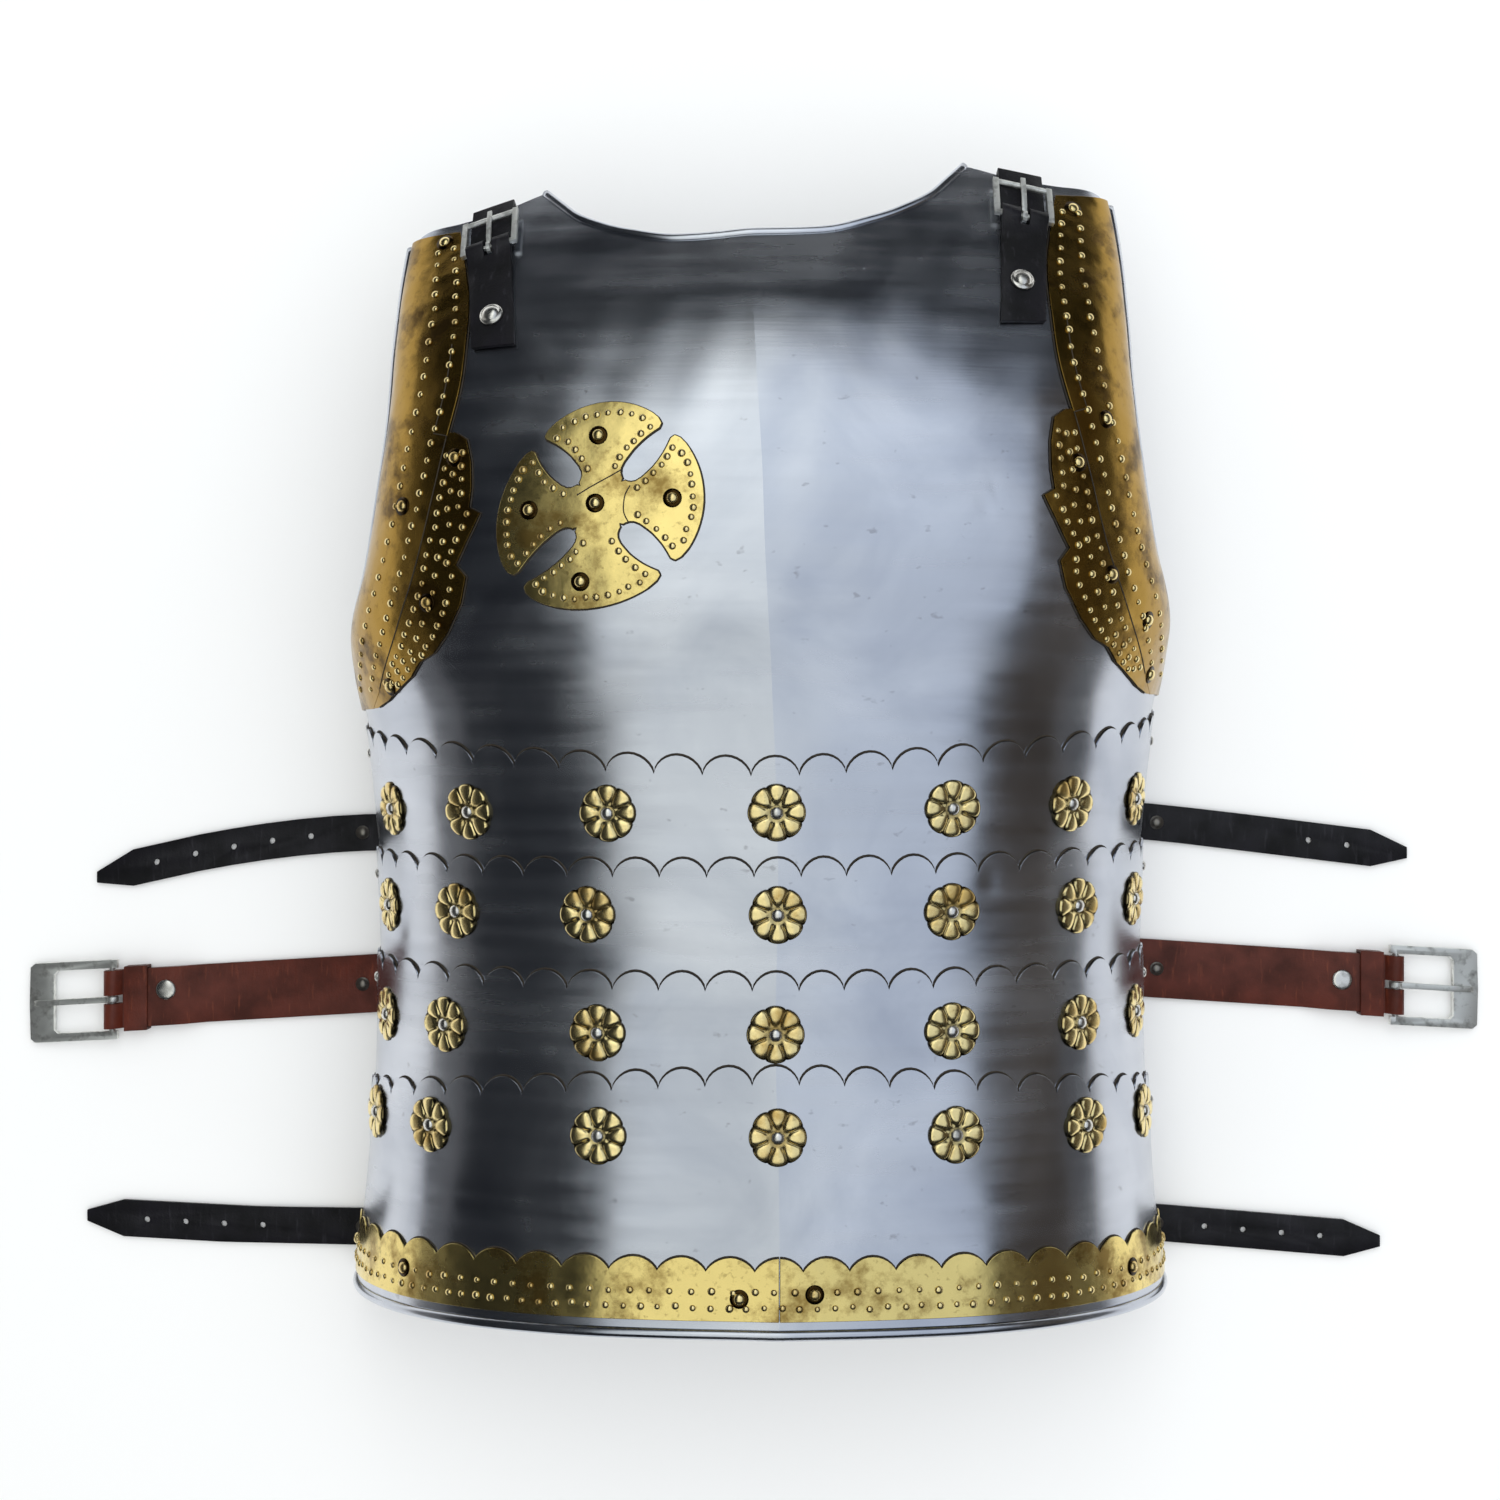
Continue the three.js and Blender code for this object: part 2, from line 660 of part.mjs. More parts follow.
rosette_rows.forEach((entry, row) => {
  const is_last = row === lame_rows.length - 1;
  const foot = (place) =>
    (is_last ? hemEdge(place) + 2 * hem_band_width : rowLine(row + 1, place) + 1);
  const surface = (place, y) => {
    const start = rowLine(row, place) - lap_length;
    const share = Math.min(Math.max((start - y) / (start - foot(place)), 0), 1);
    return onBody(place, y, steel_thick + lap * (1 - share));
  };
  entry.places.forEach((place, i) => {
    const y = rowLine(row, 0.5) - entry.drop * hem_depth + (rowLine(row, place) - rowLine(row, 0.5)) * 0.15;
    const step = 2 / girth(y);
    const across = surface(place + step, y).sub(surface(place - step, y)).normalize();
    const up = surface(place, y + 2).sub(surface(place, y - 2)).normalize();
    const out = across.clone().cross(up).normalize();
    const rosette = add(`rosette_${row + 1}_${i + 1}`, rosetteGeometry(), brass);
    rosette.position.copy(surface(place, y).addScaledVector(out, rosette_gap));
    const turned = new THREE.Matrix4().makeBasis(across, out.clone().cross(across), out);
    rosette.quaternion.setFromRotationMatrix(turned);
  });
});

// Leather and buckles seen from the side: along is the length, height the way up, width runs across
function sideProfile(outline, holes, width, steps) {
  const shape = new THREE.Shape(outline.map(([x, y]) => new THREE.Vector2(x, y)));
  for (const hole of holes) shape.holes.push(new THREE.Path(hole.map(([x, y]) => new THREE.Vector2(x, y))));
  const geometry = new THREE.ExtrudeGeometry(shape, { depth: width, steps, bevelEnabled: false });
  geometry.translate(0, 0, -width / 2);
  return geometry;
}

function circle(x, y, radius, sides, from = 0, to = 2 * Math.PI) {
  const points = [];
  const closed = to - from > 6.2;
  const count = closed ? sides : sides + 1;
  for (let i = 0; i < count; i += 1) {
    const angle = from + ((to - from) * i) / sides;
    points.push([x + radius * Math.cos(angle), y + radius * Math.sin(angle)]);
  }
  return points;
}

function block(x0, x1, y0, y1, z0, z1) {
  const geometry = new THREE.BoxGeometry(x1 - x0, y1 - y0, z1 - z0);
  return geometry.translate((x0 + x1) / 2, (y0 + y1) / 2, (z0 + z1) / 2);
}

// Shoulder straps. along is 0 on the shoulder edge and falls towards the chest, height 0 on the steel.
for (const [side, name] of [[-1, 'left'], [1, 'right']]) {
  const edge_place = (along) => {
    const share = Math.min(Math.max(-along / shoulder_strap_length, -0.3), 1);
    return shoulder_place + (shoulder_place_low - shoulder_place) * share;
  };
  const edge_y = topEdge(shoulder_place);
  const slope_reach = 0.05;
  const slope = (topEdge(shoulder_place + slope_reach) - topEdge(shoulder_place - slope_reach))
    / (2 * slope_reach * girth(edge_y));
  const toBody = (along, height, across) => {
    const fade = Math.min(Math.max(1 + (along + 20) / 45, 0), 1);
    const y = edge_y + along - side * slope * across * fade;
    const centre = side < 0 ? edge_place(along) : 1 - edge_place(along);
    return onBody(centre + across / girth(edge_y), y, steel_thick + height).toArray();
  };
  const finish = (solid) => reshape(toGeometry(solid), (x, y, z) => toBody(x, y, z));
  const cells = 3;
  const low = seat_gap + strap_seat;
  const high = low + shoulder_strap_thick;
  const loop = shoulder_bar_radius + bar_gap + shoulder_strap_thick;
  const bar_along = -shoulder_frame_length - shoulder_bar_drop;
  const bar_height = low + loop;
  const far_bar = bar_along + shoulder_frame_length;

  // Anchor strap, folded round the lower bar, with a slot for the prong
  const fold = circle(bar_along, bar_height, loop, 8, -Math.PI / 2, Math.PI * 0.9);
  const outline = [[-shoulder_strap_length, low], [bar_along - shoulder_fold, low], ...fold];
  outline.push([bar_along - shoulder_fold_end, high + 1.2], [bar_along - shoulder_fold, high]);
  outline.push([-shoulder_strap_length, high]);
  const bore = circle(bar_along, bar_height, shoulder_bar_radius + bar_gap, 8);
  let anchor = toSolid(sideProfile(outline, [bore], shoulder_strap_width, cells));
  const slot = prong_width / 2 + bar_gap;
  const slot_end = bar_along + loop + 1;
  anchor = anchor.subtract(toSolid(block(bar_along - loop - 1, slot_end, 0, slot_cut_height, -slot, slot)));
  add(`shoulder_strap_${name}`, finish(anchor), black_leather);

  // Buckle frame of two bars and two arms
  const arm = 2 * shoulder_bar_radius;
  const half = shoulder_frame_width / 2;
  const barAt = (along) => {
    const round = circle(along, bar_height, shoulder_bar_radius, 8);
    return toSolid(sideProfile(round, [], shoulder_frame_width - 1, cells));
  };
  let frame = barAt(bar_along).add(barAt(far_bar));
  for (const end of [-1, 1]) {
    const z0 = end * (half - arm / 2) - arm / 2;
    const x0 = bar_along - shoulder_bar_radius;
    const x1 = far_bar + shoulder_bar_radius;
    const y0 = bar_height - shoulder_bar_radius;
    const bar = new THREE.BoxGeometry(x1 - x0, arm, arm, 3, 1, 1);
    bar.translate((x0 + x1) / 2, y0 + arm / 2, z0 + arm / 2);
    frame = frame.add(toSolid(bar));
  }
  add(`shoulder_buckle_${name}`, finish(frame), buckle_steel);

  // Prong, its eye round the lower bar and its tip on the upper one
  const eye = shoulder_bar_radius + bar_gap / 2;
  const prong_top = bar_height + shoulder_bar_radius + bar_gap / 2;
  const prong_outline = [...circle(bar_along, bar_height, eye + 1.1, 8, 0.4, Math.PI * 2 - 0.5)];
  prong_outline.push([bar_along + 4, bar_height], [far_bar - 3, prong_top], [far_bar + 2.4, prong_top]);
  prong_outline.push([far_bar + 2.4, prong_top + 1.4], [far_bar - 3, prong_top + 1.5]);
  prong_outline.push([bar_along + 4, bar_height + 1.8]);
  const eye_hole = circle(bar_along, bar_height, eye, 8);
  const prong = toSolid(sideProfile(prong_outline, [eye_hole], prong_width - 1, 1));
  add(`shoulder_prong_${name}`, finish(prong), buckle_steel);

  // Strap from under the upper bar, over the shoulder edge and down behind it
  const over_start = bar_along + loop + bar_gap;
  const lip = 1.2;
  const back = lip + shoulder_strap_thick;
  const over = [[over_start, low], [lip, low], [lip, -shoulder_tail], [back, -shoulder_tail]];
  over.push([back, high - 1], [lip + 1, high], [over_start, high]);
  const over_solid = toSolid(sideProfile(over, [], shoulder_strap_width, cells));
  add(`shoulder_tongue_${name}`, finish(over_solid), black_leather);
}

// Roots of the side straps stand up inside the open edge and pass under it
function rootHeightAt(entry) {
  return entry.root * hem_depth;
}

function wallAt(entry) {
  const y = rootHeightAt(entry);
  return Math.abs(bodyPoint(entry.side < 0 ? 0 : 1, y).x);
}

function rootOutline(wall, thick, end) {
  const inner = wall - seat_gap - 0.8;
  return [
    [end, 0],
    [end, thick],
    [inner, thick],
    [inner - 0.6, root_height],
    [inner - 0.6 - thick, root_height],
    [inner - thick, thick],
    [inner - thick * 0.5, 0],
  ];
}

function sway(entry, wall) {
  return (x, y, z) => {
    const share = Math.max((x - wall) / (entry.reach - wall), 0);
    const drift = entry.sway * share ** (entry.bend ?? 1);
    return [entry.side * x, rootHeightAt(entry) + drift - entry.side * z, y];
  };
}

// Four black straps with pointed tips and holes
for (const entry of side_straps) {
  const wall = wallAt(entry);
  const point = entry.reach - strap_point_length;
  const inside = wall - seat_gap - 4;
  let solid = toSolid(sideProfile(rootOutline(wall, strap_thick, wall + 4), [], strap_width, 1));
  const half = strap_width / 2;
  const flat = new THREE.Shape();
  const bends = 8;
  flat.moveTo(inside, -half);
  for (let i = 1; i <= bends; i += 1) flat.lineTo(inside + ((point - inside) * i) / bends, -half);
  flat.lineTo(entry.reach, -half * 0.3);
  flat.lineTo(entry.reach, half * 0.3);
  for (let i = bends; i >= 0; i -= 1) flat.lineTo(inside + ((point - inside) * i) / bends, half);
  for (let i = 0; i < entry.holes; i += 1) {
    const centre = point - first_hole - i * strap_hole_pitch;
    const hole = circle(centre, 0, strap_hole_radius, 8).map(([x, y]) => new THREE.Vector2(x, y));
    flat.holes.push(new THREE.Path(hole));
  }
  const length = new THREE.ExtrudeGeometry(flat, { depth: strap_thick, bevelEnabled: false });
  reshape(length, (x, y, z) => [x, z, -y]);
  solid = solid.add(toSolid(length));
  add(entry.name, reshape(toGeometry(solid), sway(entry, wall)), black_leather);
}

// Two brown belts, each folded round the bar of an open buckle
for (const entry of belts) {
  const wall = wallAt(entry);
  const place = sway(entry, wall);
  const finish = (solid) => reshape(toGeometry(solid), place);
  const under = keeper_thick + seat_gap;
  const loop = belt_bar_radius + bar_gap + belt_thick;
  const bar_along = entry.reach - loop;
  const bar_height = under + loop;
  const double_start = bar_along - belt_doubled_length;
  const keeper_end = bar_along - loop - 2;
  const outline = [
    [wall + 2, 0],
    [double_start - belt_ramp, 0],
    [double_start, under],
    ...circle(bar_along, bar_height, loop, 12, -Math.PI / 2, Math.PI * 0.8),
    [keeper_end + 1, under + 2 * belt_thick],
    [double_start, under + 2 * belt_thick],
    [double_start - belt_ramp, belt_thick],
    [wall - seat_gap - 0.8, belt_thick],
    [wall - seat_gap - 1.4, root_height],
    [wall - seat_gap - 1.4 - belt_thick, root_height],
    [wall - seat_gap - 0.8 - belt_thick, belt_thick],
    [wall - seat_gap - 0.8 - belt_thick / 2, 0],
  ];
  const bore = circle(bar_along, bar_height, belt_bar_radius + bar_gap, 12);
  let belt = toSolid(sideProfile(outline, [bore], belt_width, 1));
  const slot = prong_width / 2 + bar_gap + 0.3;
  const slot_start = bar_along - loop - 1;
  belt = belt.subtract(toSolid(block(slot_start, entry.reach + 1, 0.1, slot_cut_height, -slot, slot)));
  add(`belt_${entry.name}`, finish(belt), brown_leather);

  // Keeper round the doubled end
  const gap = 0.3;
  const keeper_start = keeper_end - keeper_length;
  const half = belt_width / 2 + gap;
  const top = under + 2 * belt_thick + gap;
  const outer = half + keeper_thick;
  const band = toSolid(block(keeper_start, keeper_end, 0, top + keeper_thick, -outer, outer));
  const hollow = block(keeper_start - 1, keeper_end + 1, keeper_thick, top, -half, half);
  add(`keeper_${entry.name}`, finish(band.subtract(toSolid(hollow))), brown_leather);

  // Buckle frame, lying from the fold down to the floor, and its prong
  const half_thick = belt_frame_thick / 2;
  const reach_down = Math.hypot(belt_frame_length, half_thick);
  const sink = Math.asin(bar_height / reach_down) - Math.atan2(half_thick, belt_frame_length);
  const tilted = (x, y, z) => {
    const out = x * Math.cos(sink) + y * Math.sin(sink);
    const up = -x * Math.sin(sink) + y * Math.cos(sink);
    return place(bar_along + out, bar_height + up, z);
  };
  const wide = belt_frame_width / 2;
  const cut = wide - belt_frame_arm;
  const plan = new THREE.Shape();
  plan.moveTo(-3, -wide);
  plan.lineTo(belt_frame_length - 3, -wide);
  plan.lineTo(belt_frame_length - 0.5, -wide + 2);
  plan.lineTo(belt_frame_length, 0);
  plan.lineTo(belt_frame_length - 0.5, wide - 2);
  plan.lineTo(belt_frame_length - 3, wide);
  plan.lineTo(-3, wide);
  plan.lineTo(-3, cut);
  plan.lineTo(belt_frame_length - belt_front_bar - 2, cut);
  plan.lineTo(belt_frame_length - belt_front_bar, cut - 2);
  plan.lineTo(belt_frame_length - belt_front_bar, -cut + 2);
  plan.lineTo(belt_frame_length - belt_front_bar - 2, -cut);
  plan.lineTo(-3, -cut);
  const loop_geometry = new THREE.ExtrudeGeometry(plan, { depth: belt_frame_thick, bevelEnabled: false });
  reshape(loop_geometry, (x, y, z) => [x, z - half_thick, -y]);
  const bar = sideProfile(circle(0, 0, belt_bar_radius, 12), [], belt_frame_width - belt_frame_arm, 1);
  const frame = toSolid(loop_geometry).add(toSolid(bar));
  add(`buckle_${entry.name}`, reshape(toGeometry(frame), tilted), buckle_steel);

  const eye = belt_bar_radius + bar_gap / 2;
  const seat = half_thick + seat_gap / 2;
  const tip = belt_frame_length - 4;
  const prong_outline = [...circle(0, 0, eye + 1.4, 12, 0.5, Math.PI * 2 - 0.45)];
  prong_outline.push([6, -0.6], [tip - belt_front_bar + 2, seat], [tip, seat], [tip + 1, seat + 1]);
  prong_outline.push([tip - 1, seat + 2], [tip - belt_front_bar, seat + 2.2], [6, 1.8]);
  const prong = toSolid(sideProfile(prong_outline, [circle(0, 0, eye, 12)], prong_width, 1));
  add(`prong_${entry.name}`, reshape(toGeometry(prong), tilted), buckle_steel);
}

// The origin lies under the middle of the whole object, on the floor
const bounds = new THREE.Box3().setFromObject(model);
model.position.set(-(bounds.min.x + bounds.max.x) / 2, -(bounds.min.y + bounds.max.y) / 2, -bounds.min.z);
model.updateMatrixWorld(true);

export default model;
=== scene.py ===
import math

import bmesh
import bpy
import numpy as np
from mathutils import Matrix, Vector


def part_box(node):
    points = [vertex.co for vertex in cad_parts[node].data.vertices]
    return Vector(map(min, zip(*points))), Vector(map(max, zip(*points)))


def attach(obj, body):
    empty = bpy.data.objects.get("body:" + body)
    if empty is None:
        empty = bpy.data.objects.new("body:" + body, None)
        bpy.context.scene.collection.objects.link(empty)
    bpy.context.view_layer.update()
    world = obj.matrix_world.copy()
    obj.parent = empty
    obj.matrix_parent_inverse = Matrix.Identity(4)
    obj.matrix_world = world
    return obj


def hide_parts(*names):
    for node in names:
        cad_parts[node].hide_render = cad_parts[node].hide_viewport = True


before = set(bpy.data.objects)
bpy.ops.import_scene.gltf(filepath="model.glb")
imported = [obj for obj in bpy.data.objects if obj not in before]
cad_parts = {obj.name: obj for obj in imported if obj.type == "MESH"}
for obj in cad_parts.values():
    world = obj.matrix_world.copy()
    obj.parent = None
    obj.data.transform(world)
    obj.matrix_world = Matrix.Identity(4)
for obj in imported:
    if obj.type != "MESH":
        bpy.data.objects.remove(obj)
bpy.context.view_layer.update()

MM = 0.001
BODY = "armour"

# Driving sizes of the body in millimetres, as the solids have them
body_half_width = 205
body_depth = 158
neck_height = 240
hem_depth = 260
hem_side_drop = 7
shoulder_lean = 12
ridge_height = 2.5
ridge_width = 70
ridge_drift = 8
edge_height = 3

# Sheet metal in millimetres
steel_thick = 1.2
brass_thick = 0.8
lap_lift = 1.5
brass_gap = 0.55
band_gap = 1.0
band_inset = 4.5
hem_band_width = 34
hem_band_inset = 6
seam_gap = 0.4
sheet_edge_radius = 0.25

# Rolled rims in millimetres. The armhole rim is rolled outwards, so that steel shows outside the brass
neck_roll_radius = 2.2
armhole_roll_radius = 3.0
armhole_roll_out = 1.3
hem_roll_radius = 2.6

# Half the width of the dark lines: painted shade with grime along steel edges and along brass edges, dark
# joints in seams
edge_shade_and_grime = 0.5
brass_shade_and_grime = 0.4
seam_grime = 0.3

# Scallops of the lames and of the hem band
scallops = 27
scallop_depth = 8.5
lap_length = 17
hidden_foot = 15
hem_scallop_depth = 6

# Sections up the body: height, half width, edge, crest, power of the curve, drift of the ridge, as shares
body_sections = np.array([
    (-1.06, 0.995, 0, 0.968, 2.5, 1),
    (-0.77, 0.961, 0, 0.943, 2.5, 1),
    (-0.5, 0.937, 0, 0.93, 2.5, 0.8),
    (-0.23, 0.932, 0, 0.943, 2.5, 0.94),
    (-0.1, 0.941, 0, 0.958, 2.5, 0.85),
    (0, 0.951, -0.015, 0.975, 2.5, 0.75),
    (0.035, 0.955, -0.013, 0.98, 2.5, 0.7),
    (0.083, 0.961, 0.038, 0.987, 2.45, 0.63),
    (0.167, 0.966, 0.184, 0.994, 2.4, 0.53),
    (0.258, 0.956, 0.361, 1.006, 2.3, 0.375),
    (0.383, 0.907, 0.487, 1.006, 2.3, 0.19),
    (0.517, 0.873, 0.551, 0.994, 2.3, 0.06),
    (0.667, 0.844, 0.582, 0.956, 2.3, -0.19),
    (0.833, 0.829, 0.563, 0.861, 2.2, -0.44),
    (1.004, 0.815, 0.487, 0.703, 2.2, -0.69),
    (1.21, 0.78, 0.373, 0.487, 2.1, -0.81),
])

# Upper outline of the breast plate from the centre line to the armhole: side, height as a share of the neck
neck_outline = np.array([
    (0, 0.998), (0.2, 0.998), (0.33, 1.019), (0.41, 1.04), (0.48, 1.065), (0.53, 1.094), (16 / 27, 1.131),
])
shoulder_outline = np.array([(16 / 27, 1.131), (0.72, 1.096), (0.82, 1.081), (0.93, 1.071), (1, 1.046)])
peak_side = 16 / 27

# Upper edges of the lames as shares of the hem depth: at the centre line, and their rise to the sides
lame_rows = [(-0.0115, 0.09), (-0.185, 0.01), (-0.381, 0.004), (-0.542, -0.1)]

# Armhole band and leaf: height as a share of the neck, place as a share of the girth
band_edge = np.array([
    (0.1, 0.126), (0.135, 0.139), (0.205, 0.145), (0.3, 0.144), (0.41, 0.14), (0.58, 0.141), (0.7, 0.146),
    (0.79, 0.142), (0.9, 0.132), (0.97, 0.117), (1.06, 0.092),
])
leaf_edge = np.array([
    (0.101, 0.136), (0.114, 0.155), (0.132, 0.168), (0.158, 0.184), (0.186, 0.189), (0.2, 0.201),
    (0.235, 0.207), (0.29, 0.21), (0.34, 0.205), (0.364, 0.189), (0.41, 0.194), (0.46, 0.202),
    (0.472, 0.188), (0.51, 0.186), (0.56, 0.179), (0.605, 0.168), (0.62, 0.152),
])

# Rosettes of each lame: drop below the row line as a share of the hem depth, places across
rosette_rows = [
    (0.095, (0.148, 0.249, 0.369, 0.5, 0.643, 0.755, 0.858)),
    (0.097, (0.132, 0.232, 0.35, 0.5, 0.644, 0.766, 0.862)),
    (0.107, (0.13, 0.22, 0.359, 0.5, 0.646, 0.77, 0.866)),
    (0.122, (0.118, 0.207, 0.36, 0.5, 0.646, 0.771, 0.872)),
]
rosette_radius = 13
rosette_gap = 0.25
rosette_row_curve = 0.15
petals = 8

# Cross badge
badge_radius = 46.5
badge_height_on_body = 111
badge_place = 0.331
badge_turn_deg = -3


def smooth_curve(table, at, column=1):
    """Cubic curve through the rows of a table, its first column against another."""
    keys = table[:, 0]
    values = table[:, column]
    last = len(keys) - 1
    at = np.clip(at, keys[0], keys[last])
    i = np.clip(np.searchsorted(keys, at, side="right") - 1, 0, last - 1)
    before = np.maximum(np.arange(last + 1) - 1, 0)
    after = np.minimum(np.arange(last + 1) + 1, last)
    slope = (values[after] - values[before]) / (keys[after] - keys[before])
    span = keys[i + 1] - keys[i]
    t = (at - keys[i]) / span
    start = (2 * t**3 - 3 * t**2 + 1) * values[i] + (t**3 - 2 * t**2 + t) * span * slope[i]
    end = (3 * t**2 - 2 * t**3) * values[i + 1] + (t**3 - t**2) * span * slope[i + 1]
    return start + end


# The form of the body, worked out once at every millimetre of height and then read between those rows
GRID_LOW = -300
GRID_HIGH = 320
GRID_PLACES = 1200
grid_heights = np.arange(GRID_LOW, GRID_HIGH + 1)
grid_x = np.zeros((len(grid_heights), GRID_PLACES + 1))
grid_z = np.zeros_like(grid_x)
grid_girth = np.zeros((len(grid_heights), 2))


def fill_grid():
    turn = np.linspace(0, math.pi / 2, 400)
    for row, height in enumerate(grid_heights):
        share = height / (neck_height if height > 0 else hem_depth)
        half, edge, crest, power, drift = (smooth_curve(body_sections, share, c) for c in range(1, 6))
        ridge = drift * ridge_drift
        low = edge_height + edge * body_depth
        high = edge_height + crest * body_depth
        for index, side in enumerate((-1, 1)):
            reach = half * body_half_width - side * ridge
            out = reach * np.sin(turn) ** (2 / power)
            rise = (high - low) * np.clip(np.cos(turn), 0, 1) ** (2 / power)
            keel = np.clip(1 - out / ridge_width, 0, 1) ** 2 * ridge_height
            x = ridge + side * out
            z = low + rise + keel
            run = np.concatenate([[0], np.cumsum(np.hypot(np.diff(x), np.diff(z)))])
            grid_girth[row, index] = run[-1]
            places = np.linspace(0, run[-1], GRID_PLACES // 2 + 1)
            near = slice(GRID_PLACES // 2, None, -1) if side < 0 else slice(GRID_PLACES // 2, None)
            grid_x[row, near] = np.interp(places, run, x)
            grid_z[row, near] = np.interp(places, run, z)


fill_grid()


def girth(height):
    """Length round the body from side edge to side edge."""
    return np.interp(height, grid_heights, grid_girth.sum(axis=1))


def body_point(place, height):
    """Points of the body in millimetres. place is 0 at the left edge, 0.5 on the ridge, 1 at the right."""
    place, height = np.broadcast_arrays(np.asarray(place, float), np.asarray(height, float))
    p = np.clip(place, 0, 1) * GRID_PLACES
    h = np.clip(height, GRID_LOW, GRID_HIGH) - GRID_LOW
    i = np.minimum(h.astype(int), len(grid_heights) - 2)
    j = np.minimum(p.astype(int), GRID_PLACES - 1)
    u = h - i
    v = p - j

    def read(grid):
        low = grid[i, j] * (1 - v) + grid[i, j + 1] * v
        high = grid[i + 1, j] * (1 - v) + grid[i + 1, j + 1] * v
        return low * (1 - u) + high * u

    x = read(grid_x)
    up = np.clip((height + hem_depth) / (neck_height + hem_depth), 0, None)
    return np.stack([x, height + shoulder_lean * x / body_half_width * up**2, read(grid_z)], axis=-1)


def unit(vectors):
    return vectors / np.linalg.norm(vectors, axis=-1, keepdims=True)


def body_out(place, height):
    """The direction straight out of the body."""
    place = np.asarray(place, float)
    right = body_point(np.minimum(place + 0.004, 1), height)
    across = right - body_point(np.maximum(place - 0.004, 0), height)
    up = body_point(place, np.asarray(height) + 0.5) - body_point(place, np.asarray(height) - 0.5)
    return unit(np.cross(across, up))


# Hand planishing leaves the steel slightly wavy: depth and length of each wave in millimetres, and its turn.
# Waves and knocks are laid out on a flat sheet as wide as the body's mean girth
planished_waves = [(0.10, 92, 0.4), (0.07, 61, 1.9), (0.06, 43, 2.7), (0.03, 27, 1.2)]
mean_girth = 620

# Small knocks in the steel: place, height, depth and radius in millimetres
knocks = [(0.73, 106, 0.35, 5), (0.745, 112, 0.25, 4), (0.6775, -60, 0.3, 5), (0.3, 20, 0.15, 6)]


def wave(place, height):
    """How far the worked steel stands off its ideal form."""
    along = place * mean_girth
    total = 0
    for n, (depth, length, turn) in enumerate(planished_waves):
        travel = along * math.cos(turn) + height * math.sin(turn)
        total = total + depth * np.sin(travel * 2 * math.pi / length + n)
    for at, up, depth, radius in knocks:
        away = np.hypot((place - at) * mean_girth, height - up) / radius
        total = total - depth * np.exp(-(away**2))
    return total


def on_body(place, height, lift):
    """Points that stand off the body by lift, along its own direction out."""
    lifted = np.asarray(lift) + wave(np.asarray(place, float), height)
    return body_point(place, height) + body_out(place, height) * np.asarray(lifted)[..., None]


def side_of(place):
    """0 on the ridge, 1 at either side edge."""
    return np.abs(2 * np.asarray(place) - 1)


def top_edge(place):
    side = side_of(place)
    on_neck = smooth_curve(neck_outline, np.minimum(side, peak_side))
    on_shoulder = smooth_curve(shoulder_outline, np.maximum(side, peak_side))
    return np.where(side < peak_side, on_neck, on_shoulder) * neck_height


def hem_edge(place):
    return -hem_depth - hem_side_drop * side_of(place) ** 3


def row_line(row, place):
    centre, rise = lame_rows[row]
    return hem_depth * (centre + rise * side_of(place) ** 1.5)


def lame_foot(row, place):
    if row + 1 < len(lame_rows):
        return row_line(row + 1, place) + 1
    return hem_edge(place) + 2 * hem_band_width


def lame_lift(row, place, height):
    """How far a lame stands off the body: over the plate above it at its top, on the body at its foot."""
    start = row_line(row, place) - lap_length
    return lap_lift * (1 - np.clip((start - height) / (start - lame_foot(row, place)), 0, 1))


# Where the solids' own origin lies in the frame, read from the lowest lame
hem_line = body_point(np.linspace(0, 1, 201), hem_edge(np.linspace(0, 1, 201)))
lame_low, lame_high = (np.array(corner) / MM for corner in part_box("lame_4"))
shift = np.array([
    (lame_low[0] + lame_high[0]) / 2 - (hem_line[:, 0].min() + hem_line[:, 0].max()) / 2,
    lame_low[1] - (hem_line[:, 1].min() - hem_roll_radius),
    0,
])


def link(name, mesh):
    obj = bpy.data.objects.new(name, mesh)
    bpy.context.scene.collection.objects.link(obj)
    return obj


def build(name, points, faces, finish):
    """A smooth mesh from points in millimetres of the solids' own origin."""
    mesh = bpy.data.meshes.new(name)
    mesh.from_pydata(((points + shift) * MM).tolist(), [], faces)
    mesh.shade_smooth()
    mesh.materials.append(finish)
    return link(name, mesh)


def finish_piece(obj, slot, *nodes):
    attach(obj, BODY)
    if nodes:
        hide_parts(*nodes)


def soften_edges(obj, width, segments=2, angle=50):
    """A small bevel on every edge sharper than the angle, in degrees."""
    bevel = obj.modifiers.new("soft edges", "BEVEL")
    bevel.width = width * MM
    bevel.segments = segments
    bevel.limit_method = "ANGLE"
    bevel.angle_limit = math.radians(angle)
    bevel.harden_normals = True
    return obj


def settle(obj):
    """Turns what the modifiers make into the object's own mesh."""
    depsgraph = bpy.context.evaluated_depsgraph_get()
    mesh = bpy.data.meshes.new_from_object(obj.evaluated_get(depsgraph), preserve_all_data_layers=True,
                                           depsgraph=depsgraph)
    obj.modifiers.clear()
    obj.data = mesh
    return obj


# Materials

def linear(hex_colour):
    """An sRGB hex colour as linear numbers."""
    channels = [int(hex_colour[i:i + 2], 16) / 255 for i in (1, 3, 5)]
    return [c / 12.92 if c <= 0.04045 else ((c + 0.055) / 1.055) ** 2.4 for c in channels] + [1]


